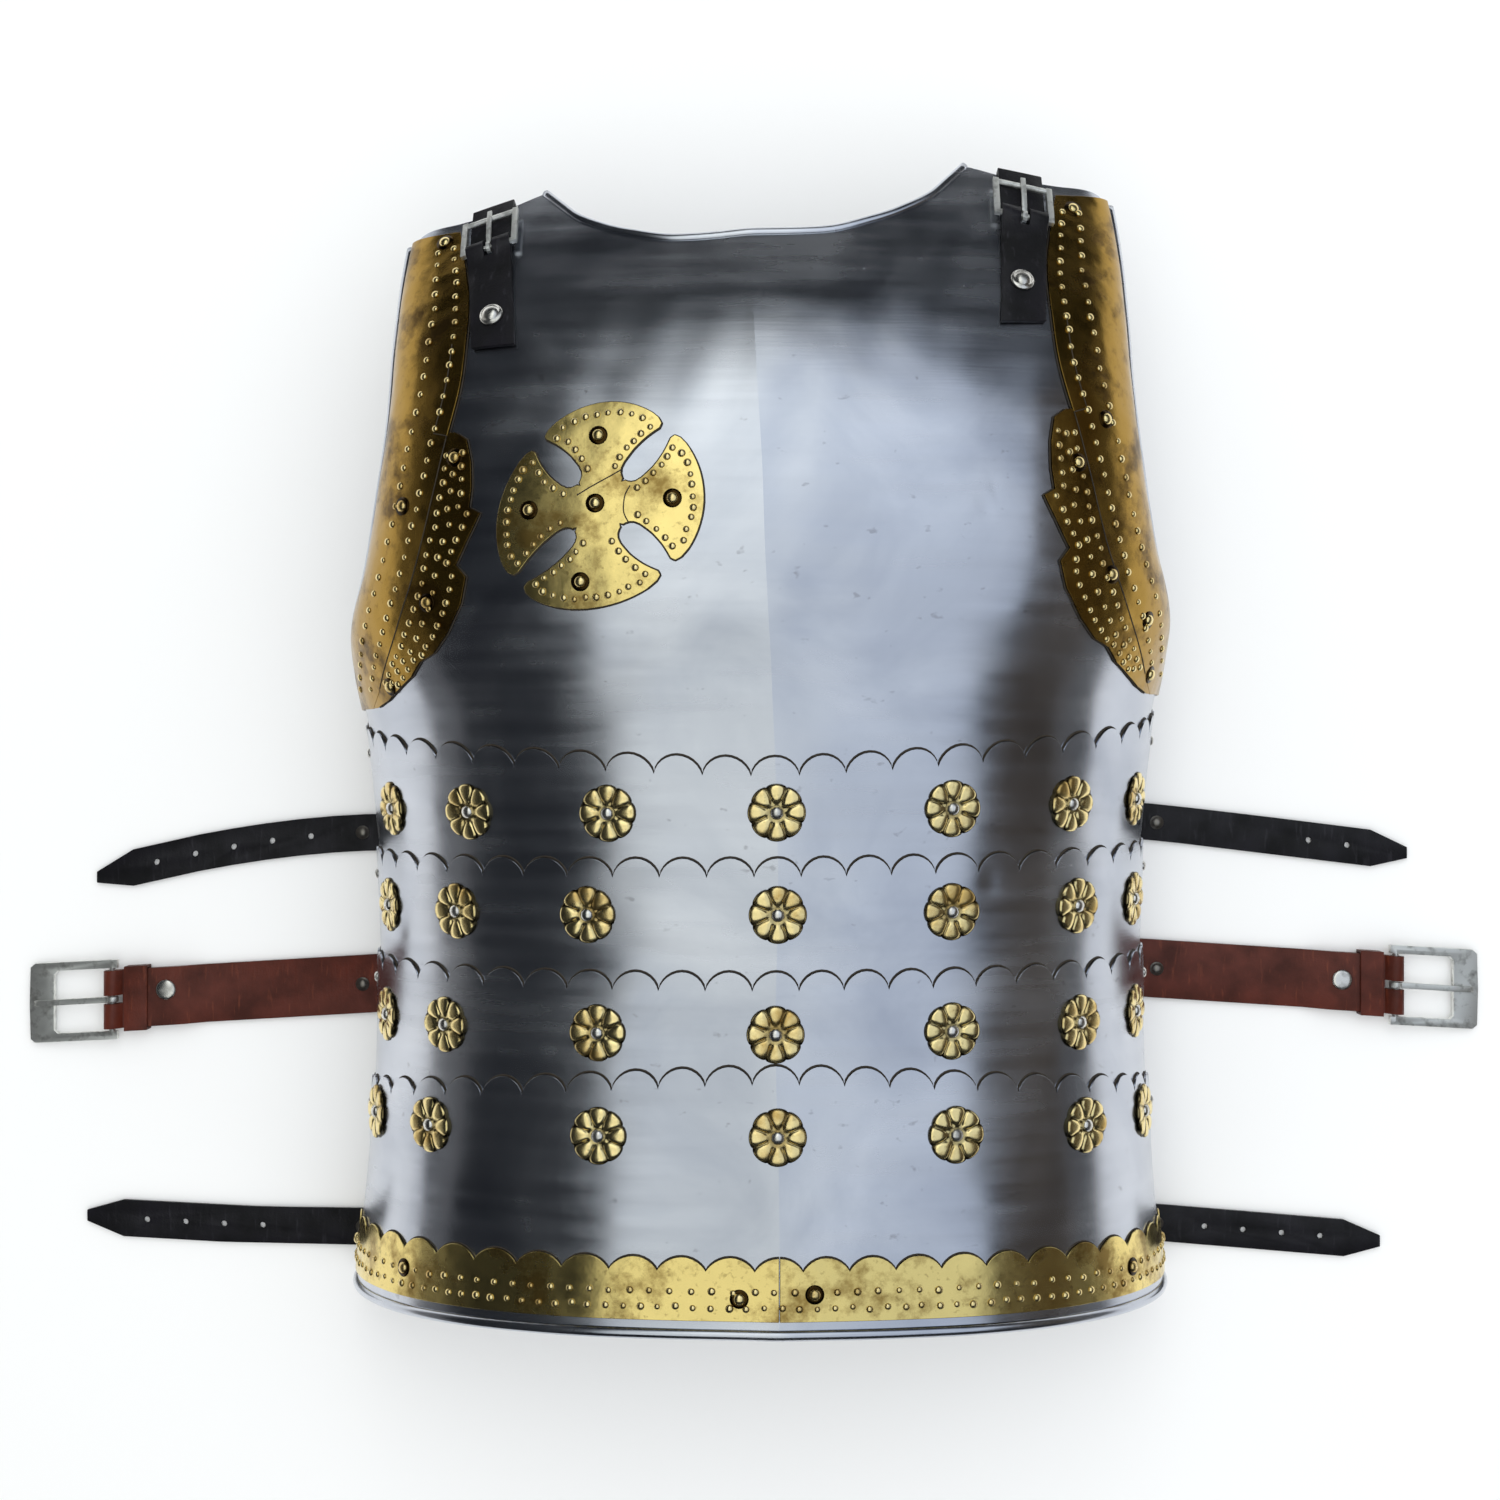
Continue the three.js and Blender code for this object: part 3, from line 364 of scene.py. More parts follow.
def add(tree, kind, inputs=None, **settings):
    """Adds a node. inputs maps a socket to its value or to the socket that feeds it."""
    node = tree.nodes.new(kind)
    for key, value in settings.items():
        setattr(node, key, value)
    for key, value in (inputs or {}).items():
        if isinstance(value, bpy.types.NodeSocket):
            tree.links.new(value, node.inputs[key])
        else:
            node.inputs[key].default_value = value
    return node


def material(name, **fixed):
    made = bpy.data.materials.new(name)
    made.use_nodes = True
    tree = made.node_tree
    shader = tree.nodes["Principled BSDF"]
    for key, value in fixed.items():
        shader.inputs[key].default_value = value
    place = add(tree, "ShaderNodeTexCoord").outputs["Object"]
    return made, tree, place


def stretched(tree, place, lengths_mm):
    """Coordinates in which one unit is the given length along each axis."""
    scale = [1 / (length * MM) for length in lengths_mm]
    return add(tree, "ShaderNodeMapping", {"Vector": place, "Scale": scale}).outputs["Vector"]


def spread(tree, value, low, high, to_low, to_high):
    """Carries a value from one range to another and holds it there."""
    inputs = {"Value": value, "From Min": low, "From Max": high, "To Min": to_low, "To Max": to_high}
    return add(tree, "ShaderNodeMapRange", inputs).outputs["Result"]


def combine(tree, operation, first, second):
    return add(tree, "ShaderNodeMath", {0: first, 1: second}, operation=operation).outputs[0]


def blend(tree, share, first, second):
    mix = add(tree, "ShaderNodeMix", {0: share, 6: first, 7: second}, data_type="RGBA")
    return mix.outputs[2]


def noise(tree, place, lengths_mm, detail, **more):
    """Noise whose grain has the given length along each axis."""
    inputs = {"Vector": stretched(tree, place, lengths_mm), "Scale": 1.0, "Detail": detail, **more}
    return add(tree, "ShaderNodeTexNoise", inputs).outputs[0]


def cells(tree, place, length_mm, feature, **more):
    """Distance from the middles of cells of the given size."""
    inputs = {"Vector": stretched(tree, place, (length_mm,) * 3), "Scale": 1.0, **more}
    return add(tree, "ShaderNodeTexVoronoi", inputs, feature=feature).outputs[0]


def feed(made, tone, roughness=None, *bumps):
    """Gives a material its colour, roughness and bumps: height, strength and depth in millimetres."""
    tree = made.node_tree
    shader = tree.nodes["Principled BSDF"]
    tree.links.new(tone, shader.inputs["Base Color"])
    if roughness is not None:
        tree.links.new(roughness, shader.inputs["Roughness"])
    below = {}
    for height, strength, depth in bumps:
        inputs = {"Height": height, "Strength": strength, "Distance": depth * MM, **below}
        below = {"Normal": add(tree, "ShaderNodeBump", inputs).outputs[0]}
    for normal in below.values():
        tree.links.new(normal, shader.inputs["Normal"])
    return made


def polished_steel():
    """Cold-rolled mild steel, planished, then brushed across on a belt and buffed: a mirror with streaks."""
    made, tree, place = material("planished_steel", Metallic=1.0)
    brush = noise(tree, place, (42, 0.9, 42), 4.0, Roughness=0.6)
    broad = noise(tree, place, (120, 9, 120), 3.0)
    smear = noise(tree, place, (75, 75, 75), 5.0, Distortion=0.6)
    speck = noise(tree, place, (7, 5, 7), 2.0)
    tone = blend(tree, spread(tree, smear, 0.3, 0.7, 0, 1), linear("#b4b9c4"), linear("#dadde4"))
    tone = blend(tree, spread(tree, speck, 0.69, 0.78, 0, 0.35), tone, linear("#6d6a6c"))
    rough = spread(tree, combine(tree, "ADD", smear, broad), 0.7, 1.3, 0.17, 0.31)
    return feed(made, tone, rough, (brush, 0.12, 0.12), (broad, 0.14, 0.5))


def hammered_brass(name, bright, tarnish, facet_mm, depth_mm):
    """Sheet brass, planished and buffed, then left to tarnish: near a mirror, clouded brown."""
    made, tree, place = material(name, Metallic=1.0)
    facets = cells(tree, place, facet_mm, "SMOOTH_F1", Smoothness=0.6)
    cloud = noise(tree, place, (26, 26, 26), 6.0, Roughness=0.65)
    fleck = noise(tree, place, (3, 3, 3), 3.0)
    patina_and_shade = add(tree, "ShaderNodeAttribute", attribute_name="patina_and_shade").outputs["Fac"]
    tone = blend(tree, spread(tree, cloud, 0.5, 0.64, 0, 0.8), linear(bright), linear(tarnish))
    tone = blend(tree, spread(tree, fleck, 0.6, 0.72, 0, 0.4), tone, linear("#6e5526"))
    # Darkens where the shape's attribute says: patina in the rosettes' grooves, painted shade at their rim
    # and foot
    tone = blend(tree, patina_and_shade, tone, linear("#241b0c"))
    rough = spread(tree, cloud, 0.35, 0.7, 0.16, 0.34)
    return feed(made, tone, rough, (facets, 0.5, depth_mm), (fleck, 0.15, 0.2))


def leather(name, base, dark, crease_sheen, roughness, grain_mm):
    """Vegetable-tanned strap leather, dyed and waxed: fine pores, a soft sheen, creases that catch light."""
    made, tree, place = material(name, **{"Metallic": 0.0, "Specular IOR Level": 0.3})
    pores = cells(tree, place, grain_mm, "F1")
    cloud = noise(tree, place, (16, 16, 16), 5.0)
    crease = noise(tree, place, (2.2, 14, 3), 4.0)
    tone = blend(tree, spread(tree, cloud, 0.35, 0.65, 0, 1), linear(base), linear(dark))
    # The creases are painted a lighter colour: a painted sheen over their real bump
    tone = blend(tree, spread(tree, crease, 0.6, 0.78, 0, 0.6), tone, linear(crease_sheen))
    rough = spread(tree, cloud, 0.3, 0.7, roughness - 0.08, roughness + 0.1)
    return feed(made, tone, rough, (pores, 0.3, 0.25), (crease, 0.35, 0.5))


def painted_shade_and_grime():
    """Painted shade, with old polish and soot, along the edges of the plates and the brass, and dark joints
    in the seams: dull, brown-black, no grain of its own.
    """
    made, tree, place = material("painted_shade_and_grime", Metallic=0.0, Roughness=0.8)
    return feed(made, blend(tree, noise(tree, place, (4, 4, 4), 3.0), linear("#17130f"), linear("#3b3328")))


def plated_steel(name, tone, rough):
    """Nickel-plated steel, tumbled and lightly brushed: pale, with fine scratches along it."""
    made, tree, place = material(name, Metallic=1.0)
    scratch = noise(tree, place, (9, 0.6, 9), 4.0)
    stain = noise(tree, place, (5, 5, 5), 4.0)
    colour = blend(tree, spread(tree, stain, 0.5, 0.75, 0, 0.7), linear(tone), linear("#7d7a74"))
    rough = spread(tree, stain, 0.3, 0.7, rough - 0.06, rough + 0.12)
    return feed(made, colour, rough, (scratch, 0.2, 0.15))


steel = polished_steel()
brass = hammered_brass("planished_brass", "#f0d98c", "#86652a", 11, 0.4)
# A paler copy of the brass for the rosettes, punched dots and brass rivets: painted highlight, so that they
# look lit
highlight_brass = hammered_brass("painted_highlight_brass", "#f8e3a4", "#c9a45a", 6, 0.15)
# A darker copy of the brass, for the armhole trims
darker_trim_brass = hammered_brass("darker_trim_brass", "#ab8840", "#463114", 9, 0.5)
# A near-black copy of the brass, for the rings under the brass rivets: painted shade
rivet_shade_brass = hammered_brass("painted_rivet_shade_brass", "#3a2a12", "#1d140a", 4, 0.2)
# Dark lines: painted shade with grime along the edges of the steel and brass, dark joints in the seams
shade_and_grime = painted_shade_and_grime()
black_leather = leather("black_harness_leather", "#121116", "#08080a", "#2e2d33", 0.5, 1.1)
brown_leather = leather("brown_belt_leather", "#542114", "#3b160c", "#793a22", 0.5, 1.2)
buckle_metal = plated_steel("plated_buckle_steel", "#f0f1ed", 0.5)
rivet_metal = plated_steel("burnished_rivet_steel", "#e4e2dc", 0.24)
dull_metal = plated_steel("dull_rivet_steel", "#8f8a82", 0.36)


# Sheets of metal laid on the body

def sheet(name, place, height, lift, thick, finish, ridge=False):
    """A closed wall over a grid of places and heights, rows from the top down."""
    place, height, lift = np.broadcast_arrays(place, height, lift)
    rows, columns = place.shape
    count = rows * columns
    points = np.concatenate([
        on_body(place, height, lift + thick).reshape(-1, 3),
        on_body(place, height, lift).reshape(-1, 3),
    ])
    index = np.arange(count).reshape(rows, columns)
    a, b, c, d = index[:-1, :-1], index[1:, :-1], index[1:, 1:], index[:-1, 1:]
    outer = np.stack([a, b, c, d], axis=-1).reshape(-1, 4)
    inner = outer[:, ::-1] + count
    starts = np.concatenate([index[0, 1:], index[-1, :-1], index[:-1, 0], index[1:, -1]])
    ends = np.concatenate([index[0, :-1], index[-1, 1:], index[1:, 0], index[:-1, -1]])
    rim = np.stack([starts, starts + count, ends + count, ends], axis=-1)
    obj = build(name, points, np.concatenate([outer, inner, rim]).tolist(), finish)
    if ridge:
        middle = columns // 2
        mesh = obj.data
        ends = np.zeros(len(mesh.edges) * 2, int)
        mesh.edges.foreach_get("vertices", ends)
        on_ridge = (ends.reshape(-1, 2) % count % columns == middle).all(axis=1)
        crease = mesh.attributes.new("sharp_edge", "BOOLEAN", "EDGE")
        crease.data.foreach_set("value", on_ridge)
    return soften_edges(obj, sheet_edge_radius)


def scallop_places(steps):
    """Places across a scalloped edge, at equal angles on each round scallop, and how deep each is cut."""
    chord = 0.5 / scallops
    width = girth(0) * chord

    def arc(depth):
        radius = (width**2 + depth**2) / (2 * depth)
        return radius, math.asin(width / radius)

    radius, swing = arc(scallop_depth)
    angles = np.linspace(-swing, swing, steps + 1)
    places = []
    for n in range(scallops):
        centre = (2 * n + 1) * chord
        places.append(centre + chord * np.sin(angles[:-1]) / math.sin(swing))
    places = np.concatenate([*places, [1]])

    def cut(place, depth):
        radius, _ = arc(depth)
        nearest = np.round((place - chord) * scallops) / scallops + chord
        away = np.clip(np.abs(place - nearest) / chord, 0, 1)
        return radius - np.sqrt(radius**2 - (away * width) ** 2)

    return places, cut


def edge_roll(name, line, radius, finish=steel, slot="polished_steel", sides=14):
    """A round rolled edge along a line of points, with closed ends."""
    along = unit(np.gradient(line, axis=0))
    reference = unit(np.cross(along, np.array([0, 1, 0.3])))
    other = np.cross(along, reference)
    turn = np.linspace(0, 2 * math.pi, sides, endpoint=False)
    ring = np.cos(turn)[None, :, None] * reference[:, None] + np.sin(turn)[None, :, None] * other[:, None]
    points = (line[:, None] + ring * radius).reshape(-1, 3)
    index = np.arange(len(points)).reshape(len(line), sides)
    beside = np.roll(index, -1, axis=1)
    quads = np.stack([index[:-1], beside[:-1], beside[1:], index[1:]], axis=-1).reshape(-1, 4).tolist()
    faces = quads + [index[0, ::-1].tolist(), index[-1].tolist()]
    finish_piece(build(name, points, faces, finish), slot)


def shade_and_grime_line(name, line, radius, slot="polished_steel"):
    """A thin dark line that lies half sunk in the sheet below it, closed at both ends: painted shade with
    grime along an edge, a dark joint in a seam.
    """
    edge_roll(name, line, radius, shade_and_grime, slot, sides=8)


def breast_plate():
    places, _ = scallop_places(8)
    shares = np.linspace(0, 1, 100) ** 0.9
    low = row_line(0, places) - hidden_foot
    heights = np.array([top_edge(places) * (1 - s) + low * s for s in shares])
    plate = sheet("breast_plate_steel", places, heights, 0, steel_thick, steel, ridge=True)
    finish_piece(plate, "polished_steel", "breast_plate")
    middle = steel_thick / 2
    neck = 0.5 + np.linspace(-0.5, 0.5, 120) * peak_side
    edge_roll("neck_roll", on_body(neck, top_edge(neck), middle), neck_roll_radius)
    underarm = neck_height / 12
    for place, name in ((0, "left"), (1, "right")):
        heights = underarm + (top_edge(place) - underarm) * np.linspace(0, 1, 90)
        line = on_body(np.full(90, place), heights, middle + armhole_roll_out)
        edge_roll(f"armhole_roll_{name}", line, armhole_roll_radius)


def lame(row):
    places, cut = scallop_places(12)
    line = row_line(row, places)
    top = line - cut(places, scallop_depth)
    last = row == len(lame_rows) - 1
    foot = hem_edge(places) if last else row_line(row + 1, places) - hidden_foot
    start = line - lap_length
    rows = [top * (1 - s) + start * s for s in (0, 0.05, 0.15, 0.3, 0.5, 0.75)]
    rows += [start * (1 - s) + foot * s for s in np.linspace(0, 1, 26 if last else 16)]
    heights = np.array(rows)
    lift = lame_lift(row, places, heights)
    plate = sheet(f"lame_{row + 1}_steel", places, heights, lift, steel_thick, steel, ridge=True)
    finish_piece(plate, "polished_steel", f"lame_{row + 1}")
    # A dark line on the plate above, just beyond the scalloped edge: painted shade with grime under the edge
    beyond = top + edge_shade_and_grime
    below = lame_lift(row - 1, places, beyond) if row > 0 else 0
    line = on_body(places, beyond, below + steel_thick)
    shade_and_grime_line(f"scallop_grime_{row + 1}", line, edge_shade_and_grime)
    if last:
        hem = np.linspace(0, 1, 200)
        edge_roll("hem_roll", on_body(hem, hem_edge(hem), steel_thick / 2), hem_roll_radius)


def hem_band(name, first, last):
    """Half of the hem band, from first to last across the body: scalloped above, straight below."""
    places, cut = scallop_places(12)
    seam = seam_gap / 2 / girth(-hem_depth)
    inside = (places >= first) & (places <= last)
    places = places[inside].copy()
    places[np.isclose(places, 0.5)] += seam if first > 0 else -seam
    top = hem_edge(places) + hem_band_width - cut(places, hem_scallop_depth)
    low = hem_edge(places) + hem_band_inset
    heights = np.array([top * (1 - s) + low * s for s in np.linspace(0, 1, 12)])
    band = sheet(f"{name}_brass", places, heights, steel_thick + brass_gap, brass_thick, brass)
    finish_piece(band, "brass", name)
    # A dark line on the steel along the band's scalloped top edge: painted shade with grime
    line = on_body(places, top + brass_shade_and_grime, steel_thick)
    shade_and_grime_line(f"{name}_grime", line, brass_shade_and_grime, "brass")


def band_place(height):
    return smooth_curve(band_edge, height / neck_height)


def leaf_place(height):
    return np.interp(height / neck_height, leaf_edge[:, 0], leaf_edge[:, 1])


def sided(place, side):
    """A place on the left side, or its mirror image on the right."""
    return place if side < 0 else 1 - place


def strip(name, side, heights, inner, outer, columns):
    """A sheet of an armhole trim between two lines of places, mirrored on the right side."""
    share = np.linspace(0, 1, columns) if side < 0 else np.linspace(1, 0, columns)
    heights = np.sort(heights)[::-1]
    place = inner[::-1, None] * (1 - share) + outer[::-1, None] * share
    trim = sheet(f"{name}_brass", sided(place, side), heights[:, None], steel_thick + band_gap, brass_thick,
                 darker_trim_brass)
    finish_piece(trim, "brass", name)


# Armhole trims: how far the band stays below the shoulder edge in millimetres, and its pressed seam, which
# runs between these shares of the neck height and lies at this share of the band above the leaf
trim_top_gap = 2
seam_low = 0.14
seam_high = 0.8
seam_across = 0.86


def armhole_trim(side, name):
    low = band_edge[0, 0] * neck_height
    high = (top_edge(0) + top_edge(0.08)) / 2 - trim_top_gap
    heights = np.linspace(low, high, 90)
    rim = band_inset / girth(heights)
    strip(f"armhole_band_{name}", side, heights, rim, band_place(heights), 18)
    heights = np.unique(np.concatenate([
        np.linspace(leaf_edge[0, 0], leaf_edge[-1, 0], 70), leaf_edge[:, 0],
    ])) * neck_height
    seam = band_place(heights) + seam_gap / girth(heights)
    strip(f"armhole_leaf_{name}", side, heights, seam, leaf_place(heights), 12)
    # Dark lines on the steel along the outer edges of the leaf and band: painted shade with grime
    edge = leaf_place(heights) + brass_shade_and_grime / girth(heights)
    above = np.linspace(heights[-1], high, 50)
    bare = band_place(above) + brass_shade_and_grime / girth(above)
    for part, at, place in (("leaf", heights, edge), ("band", above, bare)):
        line = on_body(sided(place, side), at, steel_thick + band_gap / 2)
        shade_and_grime_line(f"armhole_{part}_grime_{name}", line, brass_shade_and_grime, "brass")
    at = np.linspace(seam_low, seam_high, 90) * neck_height
    rim = band_inset / girth(at)
    seam = np.where(at < heights[-1], band_place(at), rim + (band_place(at) - rim) * seam_across)
    line = on_body(sided(seam, side), at, steel_thick + band_gap + brass_thick)
    shade_and_grime_line(f"armhole_seam_{name}", line, seam_grime, "brass")


breast_plate()
for row in range(len(lame_rows)):
    lame(row)
hem_band("hem_band_left", 0, 0.5)
hem_band("hem_band_right", 0.5, 1)
for side, name in ((-1, "left"), (1, "right")):
    armhole_trim(side, name)


# Repeats: a shape set out on points by Geometry Nodes

def set_out_tree():
    tree = bpy.data.node_groups.new("set_out", "GeometryNodeTree")
    kinds = {"Points": "Geometry", "Shape": "Object", "Size": "Float", "Finish": "Material"}
    for name, kind in kinds.items():
        tree.interface.new_socket(name, in_out="INPUT", socket_type=f"NodeSocket{kind}")
    tree.interface.new_socket("Geometry", in_out="OUTPUT", socket_type="NodeSocketGeometry")
    given = add(tree, "NodeGroupInput").outputs
    shape = add(tree, "GeometryNodeObjectInfo", {"Object": given["Shape"]})
    out = add(tree, "GeometryNodeInputNamedAttribute", {"Name": "out"}, data_type="FLOAT_VECTOR")
    across = add(tree, "GeometryNodeInputNamedAttribute", {"Name": "across"}, data_type="FLOAT_VECTOR")
    size = add(tree, "GeometryNodeInputNamedAttribute", {"Name": "size"}, data_type="FLOAT")
    upright = add(tree, "FunctionNodeAlignRotationToVector", {"Vector": out.outputs["Attribute"]}, axis="Z")
    turned = add(tree, "FunctionNodeAlignRotationToVector", {
        "Rotation": upright.outputs[0], "Vector": across.outputs["Attribute"],
    }, axis="X", pivot_axis="Z")
    scale = combine(tree, "MULTIPLY", size.outputs["Attribute"], given["Size"])
    placed = add(tree, "GeometryNodeInstanceOnPoints", {
        "Points": given["Points"], "Instance": shape.outputs["Geometry"], "Rotation": turned.outputs[0],
        "Scale": scale,
    })
    real = add(tree, "GeometryNodeRealizeInstances", {"Geometry": placed.outputs[0]})
    done = add(tree, "GeometryNodeSetMaterial", {"Geometry": real.outputs[0], "Material": given["Finish"]})
    add(tree, "NodeGroupOutput", {"Geometry": done.outputs[0]})
    return tree


set_out = set_out_tree()


def spread_out(name, shape, points, out, across, finish, slot, size=1.0, sizes=None, nodes=()):
    """One piece with a copy of shape on every point, in millimetres of the solids' own origin."""
    mesh = bpy.data.meshes.new(name)
    mesh.from_pydata(((np.asarray(points) + shift) * MM).tolist(), [], [])
    for key, values in (("out", out), ("across", across)):
        layer = mesh.attributes.new(key, "FLOAT_VECTOR", "POINT")
        layer.data.foreach_set("vector", np.asarray(values, np.float32).ravel())
    layer = mesh.attributes.new("size", "FLOAT", "POINT")
    layer.data.foreach_set("value", np.asarray(np.ones(len(points)) if sizes is None else sizes, np.float32))
    obj = link(name, mesh)
    modifier = obj.modifiers.new("set out", "NODES")
    modifier.node_group = set_out
    values = {"Shape": shape, "Size": size, "Finish": finish}
    for item in set_out.interface.items_tree:
        if item.item_type == "SOCKET" and item.in_out == "INPUT" and item.name in values:
            modifier[item.identifier] = values[item.name]
    finish_piece(settle(obj), slot, *nodes)


def pattern_shape(name, points, faces, patina_and_shade=None):
    """A shape to be repeated, centred on the origin and made in millimetres."""
    mesh = bpy.data.meshes.new(name)
    mesh.from_pydata((np.asarray(points) * MM).tolist(), [], [list(face) for face in faces])
    mesh.shade_smooth()
    if patina_and_shade is not None:
        layer = mesh.attributes.new("patina_and_shade", "FLOAT", "POINT")
        layer.data.foreach_set("value", np.asarray(patina_and_shade, np.float32))
    return link(name, mesh)


def turned_shape(name, profile, sides):
    """A shape turned from a profile of radius and height, closed on the axis at both ends."""
    turn = np.linspace(0, 2 * math.pi, sides, endpoint=False)
    points = []
    for radius, height in profile[1:-1]:
        points += [(radius * math.cos(t), radius * math.sin(t), height) for t in turn]
    rings = len(profile) - 2
    bottom = len(points)
    points += [(0, 0, profile[0][1]), (0, 0, profile[-1][1])]
    faces = []
    for i in range(sides):
        j = (i + 1) % sides
        faces.append((bottom, j, i))
        faces.append(((rings - 1) * sides + i, (rings - 1) * sides + j, bottom + 1))
        for r in range(rings - 1):
            faces.append((r * sides + i, r * sides + j, (r + 1) * sides + j, (r + 1) * sides + i))
    return pattern_shape(name, points, faces)


# Shapes of dots and rivets, as shares of their radius
dome_height = 0.62
dome_foot = -0.3


def dome_profile(steps):
    angles = [i / steps * math.pi / 2 for i in range(steps)]
    dome = [(math.cos(angle), dome_height * math.sin(angle)) for angle in angles]
    return [(0, dome_foot), *dome, (0, dome_height)]


dot_shape = turned_shape("dot_shape", dome_profile(4), 10)
rivet_shape = turned_shape("rivet_shape", [(0, dome_foot), (1, dome_foot), *dome_profile(6)[1:]], 20)
flat_rivet_shape = turned_shape(
    "flat_rivet_shape",
    [(0, -0.1), (1, -0.1), (1, 0.08), (0.96, 0.15), (0.85, 0.2), (0.6, 0.23), (0.3, 0.24), (0, 0.24)],
    28,
)
cap_rivet_shape = turned_shape(
    "cap_rivet_shape",
    [(0, -0.1), (1, -0.1), (1, 0.05), (0.93, 0.12), (0.8, 0.12), (0.74, 0.26), (0.6, 0.4), (0.4, 0.5),
     (0.2, 0.54), (0, 0.55)],
    28,
)
# A flat disc wider than a rivet, laid under it as a dark ring of painted shade
seat_shape = turned_shape("seat_shape", [(0, -0.1), (1, -0.1), (0.97, 0.06), (0.6, 0.03), (0, 0.03)], 20)


def surface_frame(place, height, lift):
    """Points on the body with the directions out of it and across it."""
    place = np.asarray(place, float)
    height = np.asarray(height, float)
    out = body_out(place, height)
    right = body_point(np.minimum(place + 0.002, 1), height)
    across = right - body_point(np.maximum(place - 0.002, 0), height)
    return on_body(place, height, lift), out, unit(across)


def flower_shape():
    """A stamped rosette: eight round petals with dark grooves between them, and a ring round the rivet."""
    rings = 16
    spokes = petals * 14
    turn = np.linspace(0, 2 * math.pi, spokes, endpoint=False)
    petal_turn = np.abs(((turn * petals / math.pi + 1) % 2) - 1)
    rim = rosette_radius * (0.93 + 0.07 * np.sqrt(np.clip(np.cos(petal_turn * math.pi / 2), 0, 1)))
    points = []
    patina_and_shade = []
    hole_radius = 2.4
    petal_centre = 8.6
    petal_reach = 4.4
    petal_fullness = 2.4
    ring_radius = 3.9
    for r in range(rings + 1):
        share = (r / rings) ** 0.85
        radius = hole_radius + (rim - hole_radius) * share
        sideways = petal_turn * math.pi / petals * radius
        along = (radius - petal_centre) / petal_reach
        beside = sideways / (0.39 * radius)
        dome = np.clip(1 - np.abs(along) ** petal_fullness - beside**petal_fullness, 0, 1) ** 0.5
        ring = 0.5 * np.exp(-(((radius - ring_radius) / 0.6) ** 2))
        height = 0.6 + 1.2 * dome + ring
        height = np.where(share > 0.97, 0.35, height)
        points += list(zip(radius * np.cos(turn), radius * np.sin(turn), height))
        # Dark between the petals and towards the rim: patina in the grooves, painted shade at the rim
        patina_and_shade += list(np.clip(1 - dome * 2.6, 0, 1) * np.clip(0.3 + (radius - 4) / 5, 0.4, 0.95))
    index = np.arange((rings + 1) * spokes).reshape(rings + 1, spokes)
    beside = np.roll(index, -1, axis=1)
    faces = np.stack([index[:-1], index[1:], beside[1:], beside[:-1]], axis=-1).reshape(-1, 4).tolist()
    centre = len(points)
    points += [(0, 0, 0.8), (0, 0, 0)]
    patina_and_shade += [1, 1]
    foot = [(rim[i] * math.cos(t), rim[i] * math.sin(t), 0.0) for i, t in enumerate(turn)]
    start = len(points)
    points += foot
    # The foot under the rim is dark: painted shade where the rosette meets the plate
    patina_and_shade += [0.8] * spokes
    for i in range(spokes):
        j = (i + 1) % spokes
        faces.append((centre, index[0, i], index[0, j]))
        faces.append((index[-1, i], start + i, start + j, index[-1, j]))
        faces.append((centre + 1, start + j, start + i))
    return pattern_shape("flower_shape", points, faces, patina_and_shade)


flower = flower_shape()


def rosette_places():
    """Points, directions out and directions across for every rosette, row by row."""
    points = []
    outs = []
    acrosses = []
    for row, (drop, places) in enumerate(rosette_rows):
        places = np.array(places)
        middle = row_line(row, 0.5)
        height = middle - drop * hem_depth + (row_line(row, places) - middle) * rosette_row_curve

        def surface(place, at):
            return body_point(place, at) + body_out(place, at) * (
                steel_thick + lame_lift(row, place, at) + wave(place, at))[:, None]

        step = 2 / girth(height)
        across = unit(surface(places + step, height) - surface(places - step, height))
        up = unit(surface(places, height + 2) - surface(places, height - 2))
        out = unit(np.cross(across, up))
        points.append(surface(places, height) + out * rosette_gap)
        outs.append(out)
        acrosses.append(across)
    return np.concatenate(points), np.concatenate(outs), np.concatenate(acrosses)


points, out, across = rosette_places()
rosette_nodes = [f"rosette_{row}_{column}" for row in range(1, 5) for column in range(1, 8)]
spread_out("rosettes", flower, points, out, across, highlight_brass, "brass", nodes=rosette_nodes)
spread_out("rosette_rivets", rivet_shape, points + out * 0.9, out, across, rivet_metal, "buckle_steel", 3.1)


# Cross badge: one hammered sheet, with dark seams where the three sheets of the real badge meet in the middle

badge_half_girth = grid_girth[badge_height_on_body - GRID_LOW, 0]
badge_lift = steel_thick + brass_gap


def badge_spot(across, up):
    """Place and height on the body of a point of the badge, in millimetres from its centre."""
    turn = math.radians(badge_turn_deg)
    right = across * math.cos(turn) + up * math.sin(turn)
    above = up * math.cos(turn) - across * math.sin(turn)
    return badge_place + right / badge_half_girth / 2, badge_height_on_body + above


# Arms: radius as a share of the badge, half the angle in degrees, how far the corners draw back
badge_arm = np.array([
    (0.0, 45, 0), (0.31, 45, 0), (0.325, 38, 0), (0.35, 33, 0), (0.39, 30, 0), (0.45, 29.5, 0), (0.6, 32, 0),
    (0.76, 36, 0), (0.9, 40, 0), (0.95, 39.5, 0.005), (0.985, 36, 0.012), (1, 31, 0.015),
])

# Where the three sheets of the badge meet, in millimetres from its centre
badge_seams = {
    "upper": [(-10.5, 5.2), (-3, 9), (4, 12.2), (9.4, 14.8)],
    "right": [(13.4, 7.2), (11.4, 3.4), (10.8, -1), (11.2, -5), (13.2, -9)],
}


